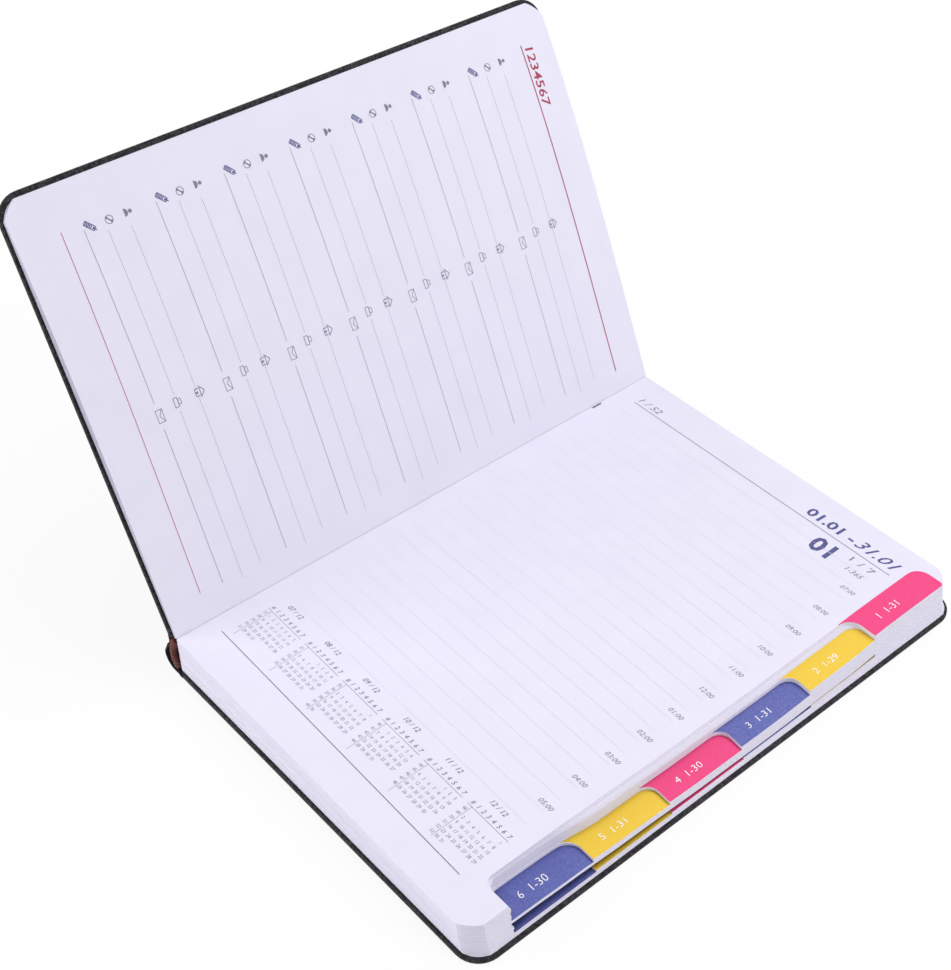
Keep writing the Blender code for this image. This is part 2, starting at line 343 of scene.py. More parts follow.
@dataclass(frozen=True)
class Leatherette(Finish):
    """Embossed PU leatherette: near black, pebbled, with high cells tinted paler and pale specks of painted
    glint.
    """

    name: str = "embossed_leatherette"
    colour: str = "#1C1A1E"
    # In the valleys of the grain, and on its high cells
    roughness: float = 0.78
    rubbed_roughness: float = 0.55
    specular: float = 0.2
    relief: float = 0.5
    relief_mm: float = 0.10
    # Tint of the high cells: partly rubbed wear, partly painted highlight
    worn: str = "#4A464D"
    crease_mm: float = 5.0
    # Pebbles of 0.5 mm are drawn at 0.8 mm, so that they show
    pebble_mm: float = 0.8
    pebble_span: tuple[float, float] = (0.1, 0.6)
    # Pale specks scattered by noise, with their size, span and strongest share: painted glints on the grain
    speck: str = "#726E74"
    speck_mm: float = 1.1
    speck_span: tuple[float, float] = (0.60, 0.74)
    speck_most: float = 0.4

    def dress(self, tree: NodeTree, shader: Node, place: NodeSocket) -> None:
        """Emboss the grain, tint its high cells a little paler and scatter pale specks of painted glint.

        Args:
            tree: Node tree of the material.
            shader: Shader of the material.
            place: Place on the piece.
        """
        sway = add_node(tree, "ShaderNodeTexNoise", {"Vector": place, "Scale": per_mm(self.crease_mm),
                                                     "Detail": 2.0})
        cells = add_node(tree, "ShaderNodeTexVoronoi", {"Vector": place, "Scale": per_mm(self.pebble_mm)},
                         feature="SMOOTH_F1")
        raised = add_node(tree, "ShaderNodeMapRange", {"Value": cells.outputs["Distance"],
                                                       **span(self.pebble_span), "To Min": 1.0,
                                                       "To Max": 0.0}).outputs["Result"]
        # High cells tinted paler: partly rubbed wear, partly painted highlight
        rub_and_highlight = add_node(tree, "ShaderNodeMath", {0: raised, 1: sway.outputs["Fac"]}, operation="MULTIPLY")
        tint = self.coat(tree, shader, rub_and_highlight.outputs["Value"], (self.colour, self.worn), raised)
        # Painted glints: pale specks scattered by noise
        glint_noise = add_node(tree, "ShaderNodeTexNoise", {"Vector": place, "Scale": per_mm(self.speck_mm),
                                                      "Detail": 2.0, "Roughness": 0.7})
        painted_glints = add_node(tree, "ShaderNodeMapRange", {"Value": glint_noise.outputs["Fac"], **span(self.speck_span),
                                                       "To Max": self.speck_most})
        glinted = add_node(tree, "ShaderNodeMix", {"Factor": painted_glints.outputs["Result"], "A": tint,
                                                   "B": linear(self.speck)}, data_type="RGBA")
        gloss = add_node(tree, "ShaderNodeMapRange", {"Value": raised, "To Min": self.roughness,
                                                      "To Max": self.rubbed_roughness})
        feed(tree, shader, {"Base Color": glinted.outputs["Result"], "Roughness": gloss.outputs["Result"]})


@dataclass(frozen=True)
class Greyboard(Finish):
    """Pressed greyboard: dull warm grey with darker flecks of recycled fibre."""

    name: str = "pressed_greyboard"
    colour: str = "#9C958C"
    relief: float = 0.2
    fleck: str = "#7B746C"
    fleck_mm: float = 0.9
    fleck_span: tuple[float, float] = (0.45, 0.65)

    def dress(self, tree: NodeTree, shader: Node, place: NodeSocket) -> None:
        """Fleck the board and roughen it.

        Args:
            tree: Node tree of the material.
            shader: Shader of the material.
            place: Place on the piece.
        """
        fleck = add_node(tree, "ShaderNodeTexNoise", {"Vector": place, "Scale": per_mm(self.fleck_mm),
                                                      "Detail": 5.0}).outputs["Fac"]
        share = add_node(tree, "ShaderNodeMapRange", {"Value": fleck, **span(self.fleck_span)})
        self.coat(tree, shader, share.outputs["Result"], (self.colour, self.fleck), fleck)


@dataclass(frozen=True)
class WovenCloth(Finish):
    """Plain-woven cloth: crossing threads that leave small dark holes between them."""

    name: str = "starched_gauze"
    colour: str = "#CFC7B9"
    gap: str = "#8E877B"
    # Threads 0.4 mm apart are drawn 0.7 mm apart, so that they show
    thread_mm: float = 0.7
    waver: float = 0.4

    def dress(self, tree: NodeTree, shader: Node, place: NodeSocket) -> None:
        """Cross two sets of threads.

        Args:
            tree: Node tree of the material.
            shader: Shader of the material.
            place: Place on the piece.
        """
        scale = math.pi * 2.0 / (WAVE_TURN * self.thread_mm * MM)
        threads = [add_node(tree, "ShaderNodeTexWave", {"Vector": place, "Scale": scale, "Detail": 1.0,
                                                        "Distortion": self.waver},
                            wave_type="BANDS", bands_direction=direction) for direction in ("Y", "Z")]
        cross = add_node(tree, "ShaderNodeMath", {0: threads[0].outputs["Fac"], 1: threads[1].outputs["Fac"]},
                         operation="MAXIMUM").outputs["Value"]
        self.coat(tree, shader, cross, (self.gap, self.colour), cross)


@dataclass(frozen=True)
class WrappedThread(Finish):
    """Cotton thread wound round a core: maroon turns with a soft sheen, and painted shade in the valleys
    between.
    """

    name: str = "wound_cotton_thread"
    colour: str = "#7C352B"
    roughness: float = 0.75
    relief: float = 0.4
    relief_mm: float = 0.08
    sheen: float = 0.1
    # Painted shade in the valleys between the turns: its colour and the span over which it gives way
    valley: str = "#1C0707"
    valley_span: tuple[float, float] = (0.45, 1.35)
    fibre_mm: float = 0.25
    # How much the fibres count beside the turns
    fray: float = 0.7

    def dress(self, tree: NodeTree, shader: Node, place: NodeSocket) -> None:
        """Paint shade into the valleys between the turns and fray the thread.

        Args:
            tree: Node tree of the material.
            shader: Shader of the material.
            place: Place on the piece.
        """
        ridge = add_node(tree, "ShaderNodeAttribute", attribute_name="ridge").outputs["Fac"]
        fibre = add_node(tree, "ShaderNodeTexNoise", {"Vector": place, "Scale": per_mm(self.fibre_mm),
                                                      "Detail": 3.0}).outputs["Fac"]
        share = add_node(tree, "ShaderNodeMath", {0: fibre, 1: self.fray, 2: ridge}, operation="MULTIPLY_ADD")
        # Painted shade: the valleys between the turns darken towards the valley colour
        level = add_node(tree, "ShaderNodeMapRange", {"Value": share.outputs["Value"],
                                                      **span(self.valley_span)})
        self.coat(tree, shader, level.outputs["Result"], (self.valley, self.colour), fibre)
        feed(tree, shader, {"Sheen Weight": self.sheen})


PAPER = WovePaper()
EDGE = TrimmedEdge()
# Smooth endpaper: a little greyer than the leaves, with wider clouds
ENDPAPER = WovePaper(name="smooth_endpaper", colour="#E4E1EE", cloud="#DBD8E6", cloud_mm=22.0)
LEATHER = Leatherette()
BOARD = Greyboard()
# Dyed card: nearly black, with hardly any fleck
DARK_CARD = Greyboard(name="dark_spine_card", colour="#3A3735", fleck="#2A2827")
GAUZE = WovenCloth()
THREAD = WrappedThread()
# Inks of the page print, and the white one of the tabs' figures
GREY_INK = OffsetInk(name="grey_ink", colour="#77758A", thin="#8C8AA0")
DARK_INK = OffsetInk(name="dark_grey_ink", colour="#55536A", thin="#6A687E")
BLUE_INK = OffsetInk(name="slate_blue_ink", colour="#4A4D82", thin="#5C5F98")
PALE_INK = OffsetInk(name="pale_rule_ink", colour="#D9D6E8", thin="#E0DDEE")
RED_INK = OffsetInk(name="crimson_ink", colour="#A12E52", thin="#B04566")
WHITE_INK = OffsetInk(name="white_ink", colour="#FFFCFF", thin="#F4F0F6")
# Inks of the tabs: glossier films, with painted shade that darkens them under the leaves above
TAB_INKS = tuple(OffsetInk(name=name, colour=colour, thin=thin, roughness=0.45, shade_mm=6.0)
                 for name, colour, thin in (("pink_tab_ink", "#EE387C", "#E94686"),
                                            ("yellow_tab_ink", "#EEC42A", "#ECC946"),
                                            ("violet_blue_tab_ink", "#535AA5", "#666EB4")))


# Bench work


def deselect() -> None:
    """Leave nothing selected."""
    bpy.ops.object.select_all(action="DESELECT")


def choose(*parts: Object) -> None:
    """Select these objects alone and make the first one active.

    Args:
        *parts: Objects to select.
    """
    deselect()
    for part in parts:
        part.select_set(True)
    bpy.context.view_layer.objects.active = parts[0]


def enter(obj: Object) -> None:
    """Take one object into edit mode with all of it selected.

    Args:
        obj: Object in object mode.
    """
    choose(obj)
    bpy.ops.object.mode_set(mode="EDIT")
    bpy.ops.mesh.select_all(action="SELECT")


def leave() -> None:
    """Go back to object mode."""
    bpy.ops.object.mode_set(mode="OBJECT")


def pick(obj: Object, kind: Pick, test: Callable[[Vector], bool]) -> None:
    """Select what lies where a test says, in edit mode.

    Args:
        obj: Object in edit mode.
        kind: Vertices or faces.
        test: Says of a centre whether it is wanted.
    """
    bpy.ops.mesh.select_mode(type=kind.value)
    bpy.ops.mesh.select_all(action="DESELECT")
    model = bmesh.from_edit_mesh(obj.data)
    for item in model.verts if kind is Pick.VERT else model.faces:
        corners = [item.co] if kind is Pick.VERT else [vert.co for vert in item.verts]
        item.select_set(test(sum(corners, Vector()) / len(corners)))
    model.select_flush_mode()
    bmesh.update_edit_mesh(obj.data)


def flat_sheet(name: str, low: tuple[float, float], high: tuple[float, float]) -> Object:
    """Add a flat sheet between two corners at zero height.

    Args:
        name: Name of the piece.
        low: Lowest x and y.
        high: Highest x and y.

    Returns:
        The sheet, in object mode.
    """
    deselect()
    bpy.ops.mesh.primitive_plane_add(size=1.0, location=(0.0, 0.0, 0.0))
    obj = bpy.context.object
    obj.name = obj.data.name = name
    enter(obj)
    bpy.ops.transform.resize(value=(high[0] - low[0], high[1] - low[1], 1.0),
                             center_override=(0.0, 0.0, 0.0))
    bpy.ops.transform.translate(value=((low[0] + high[0]) / 2.0, (low[1] + high[1]) / 2.0, 0.0))
    leave()
    return obj


def round_corners(obj: Object, corners: list[tuple[float, float]], radius: float, steps: int = 8,
                  bulge: float = 0.5) -> None:
    """Round some corners of a flat sheet.

    Args:
        obj: Sheet in object mode.
        corners: Places of the corners.
        radius: Distance from the corner at which the rounding starts.
        steps: Segments of each arc.
        bulge: Fullness of the arc, 0.5 for a quarter circle and less for a flatter cut.
    """
    enter(obj)
    pick(obj, Pick.VERT, lambda at: any(max(abs(at.x - x), abs(at.y - y)) < TOUCH for x, y in corners))
    bpy.ops.mesh.bevel(affect="VERTICES", offset=radius, segments=steps, profile=bulge)
    leave()


def cut_corners(obj: Object, width: float) -> None:
    """Clip the two outer corners of a page with the die's shallow arc."""
    round_corners(obj, [(width, 0.0), (width, PAGE_H)], CORNER_CUT, bulge=CORNER_BULGE)


def slice_sheet(obj: Object, places: list[float], axis: int) -> None:
    """Cut a mesh across one axis at several places.

    Args:
        obj: Object in object mode.
        places: Coordinates of the cuts.
        axis: Number of the axis that the cuts cross.
    """
    normal = [0.0, 0.0, 0.0]
    normal[axis] = 1.0
    enter(obj)
    for place in places:
        point = [value * place for value in normal]
        bpy.ops.mesh.select_all(action="SELECT")
        bpy.ops.mesh.bisect(plane_co=point, plane_no=normal)
    leave()


def join(name: str, parts: list[Object]) -> Object:
    """Join several objects into one.

    Args:
        name: Name of the joined piece.
        parts: Objects of one type.

    Returns:
        The joined object.
    """
    choose(*parts)
    if len(parts) > 1:
        bpy.ops.object.join()
    parts[0].name = parts[0].data.name = name
    return parts[0]


def remap(obj: Object, place: Callable[[Vector], Vector]) -> None:
    """Move each point of a mesh to where a function puts it."""
    for vertex in obj.data.vertices:
        vertex.co = place(vertex.co)


def dress(obj: Object, *finishes: Finish) -> None:
    """Give an object its finishes, one slot each.

    Args:
        obj: Object to dress.
        *finishes: Its finishes.
    """
    obj.data.materials.clear()
    for finish in finishes:
        obj.data.materials.append(finish.material())


def smooth(obj: Object, degrees: float) -> None:
    """Shade an object smooth, with edges sharper than an angle kept."""
    choose(obj)
    bpy.ops.object.shade_smooth_by_angle(angle=math.radians(degrees))


def ease(node: Object, degrees: float) -> None:
    """Shade a solid's rounded edges smooth without touching its shape.

    Args:
        node: Solid of the frame.
        degrees: Sharpest edge that is still shaded smooth.
    """
    node.data.polygons.foreach_set("use_smooth", [True] * len(node.data.polygons))
    weld = node.modifiers.new("weld", "WELD")
    weld.merge_threshold = 0.01 * MM
    split = node.modifiers.new("split", "EDGE_SPLIT")
    split.split_angle = math.radians(degrees)


def sweep(name: str, path: tuple[tuple[float, float], ...], ends: tuple[float, float],
          thickness: float) -> Object:
    """Sweep a cross-section along the gutter as a sheet of even thickness.

    Args:
        name: Name of the piece.
        path: Face of the sheet, across from the gutter and up from the table, in millimetres.
        ends: Its two ends along the gutter.
        thickness: Thickness of the sheet behind that face, or in front of it where negative.

    Returns:
        The sheet.
    """
    obj = flat_sheet(name, (0.0, ends[0]), (1.0 * MM, ends[1]))
    steps = len(path) - 1
    slice_sheet(obj, [1.0 * MM * step / steps for step in range(1, steps)], 0)

    def place(point: Vector) -> Vector:
        """Put a column of the flat strip on the cross-section."""
        x, z = path[round(point.x / MM * steps)]
        return Vector((GUTTER.x + x * MM, GUTTER.y + point.y, z * MM))

    remap(obj, place)
    sheet = obj.modifiers.new("sheet", "SOLIDIFY")
    sheet.thickness = thickness
    sheet.offset = -1.0
    choose(obj)
    bpy.ops.object.modifier_apply(modifier="sheet")
    smooth(obj, SHEET_CREASE)
    return obj


def clamp(share: float) -> float:
    """Keep a share between zero and one."""
    return min(max(share, 0.0), 1.0)


def ramp(value: float, low: float, high: float) -> float:
    """Rise smoothly from zero at a low value to one at a high one."""
    share = clamp((value - low) / (high - low))
    return share * (share * (3.0 - 2.0 * share))


def fore_edge(along: float) -> tuple[float, float]:
    """Give how the leaves lie at a place along the fore-edge.

    Args:
        along: Place from the tail, in millimetres.

    Returns:
        The sink of the top leaf in millimetres, and how evenly the leaves under it are spread.
    """
    for low, high in zip(FORE_EDGE, FORE_EDGE[1:]):
        if along <= high[0]:
            share = ramp(along, low[0], high[0])
            return low[1] + (high[1] - low[1]) * share, low[2] + (high[2] - low[2]) * share
    return FORE_EDGE[-1][1], FORE_EDGE[-1][2]


def settle(point: Vector) -> Vector:
    """Put a point of the flat stack where the settled leaves hold it.

    Args:
        point: Place across the page, along it and up the stack.

    Returns:
        The place in the row frame.
    """
    level = point.z / BLOCK_T
    lean = 1.0 - LEAN / PAGE_W * level
    sink, even = fore_edge(point.y / MM)
    bend = max(point.x - SINK_X, 0.0) / (PAGE_W - SINK_X)
    pack = ramp(point.x, *PACK_X) * (1.0 - even)
    height = BLOCK_T * (1.0 - SETTLE * point.x / PAGE_W) - sink * MM * bend * bend
    level = (1.0 - pack) * level + pack * level ** 3
    return Vector((GUTTER.x + point.x * lean, GUTTER.y + point.y, STACK_Z + height * level))


def stand(point: Vector) -> Vector:
    """Put a point of the closed front boards where they stand when open.

    Args:
        point: Place from the gutter line outwards, along it and up from it.

    Returns:
        The place in the row frame.
    """
    across, up = math.cos(OPEN_ANGLE), math.sin(OPEN_ANGLE)
    return GUTTER + Vector((point.x * across - point.z * up, point.y, point.x * up + point.z * across))


# Leaves


@dataclass
class LeafBlock:
    """The stack of leaves: twelve stepped month sections on the back leaves."""

    # Sections, and tabs in each row of steps
    months: int = 12
    row: int = 6
    section_t: float = 0.99 * MM
    pitch: float = 1.04 * MM
    months_h: float = 1.35 * MM
    back_h: float = 0.20 * MM
    back_t: float = 1.10 * MM
    tab_pitch: float = 30.4 * MM
    tab_foot: float = 14.2 * MM
    tab_head: float = 4.5 * MM
    notch_depth: float = 10.4 * MM
    notch_head_r: float = 5.0 * MM
    notch_foot_r: float = 3.0 * MM
    bundles: int = 4
    bundle_gap: float = 0.015 * MM
    # How unevenly the bundles sit, and the steps' feet and inner edges are cut
    slack: float = 0.07 * MM
    foot_slack: float = 0.38 * MM
    inner_slack: float = 0.18 * MM
    # How far the steps under the top leaf stand out where they fan, and where that sets in along the edge
    fan: float = 1.6 * MM
    fan_from: tuple[float, float] = (34.0 * MM, 56.0 * MM)
    # Sag of the upper row's leaves over the lower row's open steps: place along the edge and depth, in mm
    sags: tuple[tuple[float, float], ...] = (
        (14.2, 0.0), (20.0, 0.15), (29.0, 0.2), (60.0, 0.45), (90.0, 0.8),
        (115.0, 0.9), (128.0, 0.8), (136.5, 0.52), (158.0, 0.4), (166.0, 0.0))
    # Cuts that let a leaf bend: across the page, across its tabs, and along the fore-edge
    bend_cuts: int = 10
    tab_cuts: int = 6
    edge_cuts: int = 47
    edge_step: float = 4.0 * MM
    # Sharpest bend of a leaf that is still shaded smooth, in degrees
    crease: float = 12.0
    # Cross-section of the fold in the gutter, in mm, with its thickness and how far it ends inside the page
    fold_path: tuple[tuple[float, float], ...] = (
        (0.02, 15.55), (0.03, 15.70), (-0.03, 15.80), (-0.12, 15.85),
        (-0.21, 15.82), (-0.27, 15.73), (-0.28, 15.58))
    fold_t: float = 0.08 * MM
    fold_inset: float = 0.2 * MM
    rng: random.Random = field(default_factory=lambda: random.Random(12))

    def tab_span(self, month: int) -> tuple[float, float]:
        """Give the lower and upper end of a month's tab along the fore-edge.

        Args:
            month: Number of the month.

        Returns:
            The two ends, from the page's tail.
        """
        place = (month - 1) % self.row
        low = self.tab_foot + self.tab_pitch * (self.row - 1 - place)
        return low, low + self.tab_pitch if place else PAGE_H - self.tab_head

    def stepped(self, month: int) -> bool:
        """Say whether a month's leaves have a step below their tab."""
        return self.tab_span(month)[0] > self.tab_foot + self.notch_foot_r

    def section_top(self, month: int) -> float:
        """Give the height of a section's top leaf in the flat stack."""
        return self.months_h + (self.months - month) * self.pitch + self.section_t

    def sag(self, point: Vector) -> float:
        """Give how far a leaf of the upper row sags at a point of the flat stack.

        Args:
            point: Place across the page, along it and up the stack.

        Returns:
            The sag.
        """
        share = (point.x - PAGE_W + self.notch_depth) / self.notch_depth
        if share <= 0.0:
            return 0.0
        for (low, first), (high, second) in zip(self.sags, self.sags[1:]):
            if low * MM <= point.y <= high * MM:
                along = (point.y / MM - low) / (high - low)
                return share * share * (first + (second - first) * along) * MM
        return 0.0

    def place(self, month: int) -> Callable[[Vector], Vector]:
        """Give the function that sets a month's points in their place.

        Args:
            month: Number of the month.

        Returns:
            A function from the flat stack to the row frame.
        """
        if month > self.row:
            return settle
        fans = self.stepped(month)

        def move(point: Vector) -> Vector:
            """Fan, settle and sag one point of the upper row.

            Args:
                point: Place across the page, along it and up the stack.

            Returns:
                The place in the row frame.
            """
            if fans:
                inner = PAGE_W - self.notch_depth
                rise = min((point.x - SINK_X) / (inner - SINK_X), (PAGE_W - point.x) / self.notch_depth)
                share = ramp(point.y, *self.fan_from) * max(rise, 0.0)
                if month == 1:
                    depth = (self.section_top(1) - point.z + 0.5 * self.bundle_gap) / self.section_t
                    share *= math.floor(depth * self.bundles) / self.bundles
                point = point + Vector((self.fan * share, 0.0, 0.0))
            return settle(point) - Vector((0.0, 0.0, self.sag(point)))

        return move

    def slice_fore_edge(self, obj: Object) -> None:
        """Cut a flat leaf finely enough to settle and sag towards its fore-edge.

        Args:
            obj: Flat leaf or print.
        """
        inner = PAGE_W - self.notch_depth
        spans = ((PACK_X[0], inner, self.bend_cuts), (inner, PAGE_W, self.tab_cuts))
        places = [low + (high - low) * step / cuts for low, high, cuts in spans for step in range(cuts)]
        slice_sheet(obj, places, 0)
        slice_sheet(obj, [self.tab_foot + self.edge_step * step for step in range(self.edge_cuts)], 1)

    def cut_step(self, obj: Object, inner: float, foot: float, head: float) -> None:
        """Cut a step out of a flat sheet's fore-edge and round its head corner.

        Args:
            obj: Flat sheet.
            inner: Where the step's inner edge lies across the sheet.
            foot: Lower end of the step.
            head: Upper end of the step, where the tab begins.
        """
        slice_sheet(obj, [foot, head], 1)
        slice_sheet(obj, [inner], 0)
        enter(obj)
        pick(obj, Pick.FACE, lambda at: at.x > inner and foot < at.y < head)
        bpy.ops.mesh.delete(type="FACE")
        bpy.ops.mesh.select_all(action="SELECT")
        bpy.ops.mesh.dissolve_limited(angle_limit=0.01)
        leave()
        round_corners(obj, [(inner, head)], self.notch_head_r)

    def leaf(self, name: str, tab_low: Optional[float]) -> Object:
        """Cut one flat leaf, stepped below its tab where it has one.

        Args:
            name: Name of the piece.
            tab_low: Lower end of the tab, or None for a plain leaf.

        Returns:
            The flat leaf.
        """
        obj = flat_sheet(name, (0.0, 0.0), (PAGE_W, PAGE_H))
        if tab_low is not None:
            inner = PAGE_W - self.notch_depth + self.rng.uniform(-self.inner_slack, self.inner_slack)
            foot = self.tab_foot + self.rng.uniform(-self.foot_slack, self.foot_slack)
            self.cut_step(obj, inner, foot, tab_low)
            round_corners(obj, [(inner, foot)], self.notch_foot_r)
        cut_corners(obj, PAGE_W)
        return obj

    def stack(self, obj: Object, low: float, thickness: float, count: int) -> None:
        """Thicken a leaf and pile it up in bundles that sit a little unevenly.

        Args:
            obj: Flat leaf.
            low: Height of the lowest bundle.
            thickness: Height of the whole pile.
            count: Number of bundles.
        """
        each = (thickness - (count - 1) * self.bundle_gap) / count
        enter(obj)
        bpy.ops.transform.translate(value=(0.0, 0.0, low))
        bpy.ops.mesh.extrude_region_move(TRANSFORM_OT_translate={"value": (0.0, 0.0, each)})
        bpy.ops.mesh.select_all(action="SELECT")
        bpy.ops.mesh.normals_make_consistent(inside=False)
        last = 0.0
        for _ in range(count - 1):
            shift = self.rng.uniform(-self.slack, self.slack)
            move = (0.0, shift - last, each + self.bundle_gap)
            last = shift
            bpy.ops.mesh.duplicate_move(TRANSFORM_OT_translate={"value": move})
            wide = 1.0 + self.rng.uniform(-self.slack, self.slack) / PAGE_W
            bpy.ops.transform.resize(value=(wide, 1.0, 1.0), center_override=(0.0, 0.0, 0.0))
        leave()

    def finish(self, obj: Object, place: Callable[[Vector], Vector]) -> None:
        """Note each point's height, set the pile in its place and dress it.

        Args:
            obj: Pile of leaves.
            place: Puts a point of the flat pile where it belongs.
        """
        heights = [vertex.co.z / MM for vertex in obj.data.vertices]
        sides = [abs(face.normal.z) < 0.5 for face in obj.data.polygons]
        attribute = obj.data.attributes.new("leaf", "FLOAT", "POINT")
        attribute.data.foreach_set("value", heights)
        remap(obj, place)
        dress(obj, PAPER, EDGE)
        obj.data.polygons.foreach_set("material_index", [int(side) for side in sides])
        smooth(obj, self.crease)

    def fold(self) -> Object:
        """Make the narrow paper fold that shows along the gutter.

        Returns:
            The fold.
        """
        ends = (self.fold_inset, PAGE_H - self.fold_inset)
        obj = sweep("gutter_fold", self.fold_path, ends, self.fold_t)
        dress(obj, PAPER)
        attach(obj, "month_01")
        return obj

    def build(self) -> list[Object]:
        """Build the back leaves and the twelve sections.

        Returns:
            The piles, lowest first.
        """
        back = self.leaf("notes_leaves", None)
        self.slice_fore_edge(back)
        self.stack(back, self.back_h, self.back_t, self.bundles)
        self.finish(back, settle)
        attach(back, "back_case")
        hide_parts("back_leaves")
        piles = [back]
        for month in range(self.months, 0, -1):
            low = self.tab_span(month)[0] if self.stepped(month) else None
            pile = self.leaf(f"section_leaves_{month:02d}", low)
            self.slice_fore_edge(pile)
            self.stack(pile, self.section_top(month) - self.section_t, self.section_t, self.bundles)
            self.finish(pile, self.place(month))
            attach(pile, f"month_{month:02d}")
            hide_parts(f"month_{month:02d}")
            piles.append(pile)
        return piles + [self.fold()]


@dataclass
class FrontLeaves:
    """The leaves that stand against the open front cover, fanned and bellied towards the reader."""

    width: float = 140.8 * MM
    root: float = 0.3 * MM
    low: float = 0.05 * MM
    thickness: float = 0.90 * MM
    # Depth of the belly, how full it is near the gutter, and the height of its curve before that depth is set
    belly: float = 2.3 * MM
    fullness: float = 0.6
    peak: float = 0.2875
    strips: int = 28
    bundles: int = 6
    # Share of their depth that the leaves keep under the closed cover
    keep: float = 0.28

    def bow(self, across: float) -> float:
        """Give how far the top page stands out at a distance from the gutter."""
        share = clamp(across / self.width)
        return self.belly * share * (1.0 - share) * (self.fullness + share) / self.peak

    def place(self, point: Vector) -> Vector:
        """Fan a point of the flat closed pile out with its bundle and stand it up.

        Args:
            point: Place from the gutter line outwards, along it and up from it.

        Returns:
            The place in the row frame.
        """
        bundle = round((point.z - self.low) / self.thickness * self.bundles - 0.5)
        share = 1.0 - min(max(bundle, 0), self.bundles - 1) / (self.bundles - 1)
        lift = share * self.bow(point.x)
        return stand(Vector((max(point.x, self.root), point.y, point.z - lift)))

    def flatten(self, obj: Object) -> None:
        """Give a piece on these leaves a mesh of its own.

        Args:
            obj: Piece on the leaves.
        """
        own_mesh(obj)

    def build(self, block: LeafBlock) -> Object:
        """Build the pile of front leaves.

        Args:
            block: Gives the way that leaves are piled.

        Returns:
            The pile.
        """
        pile = flat_sheet("front_matter_leaves", (0.0, 0.0), (self.width, PAGE_H))
        cut_corners(pile, self.width)
        slice_sheet(pile, [self.width * step / self.strips for step in range(1, self.strips)], 0)
        block.stack(pile, self.low, self.thickness, self.bundles)
        block.finish(pile, self.place)
        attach(pile, "front_leaves")
        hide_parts("front_leaves")
        self.flatten(pile)
        return pile


# Print


@dataclass(frozen=True)
class Cut:
    """The size and shape of a line's figures, in millimetres."""

    height: float
    # Shear of an italic figure, extra thickness of its strokes, and its width as a share of the usual one
    slant: float = 0.0
    weight: float = 0.0
    narrow: float = 1.0


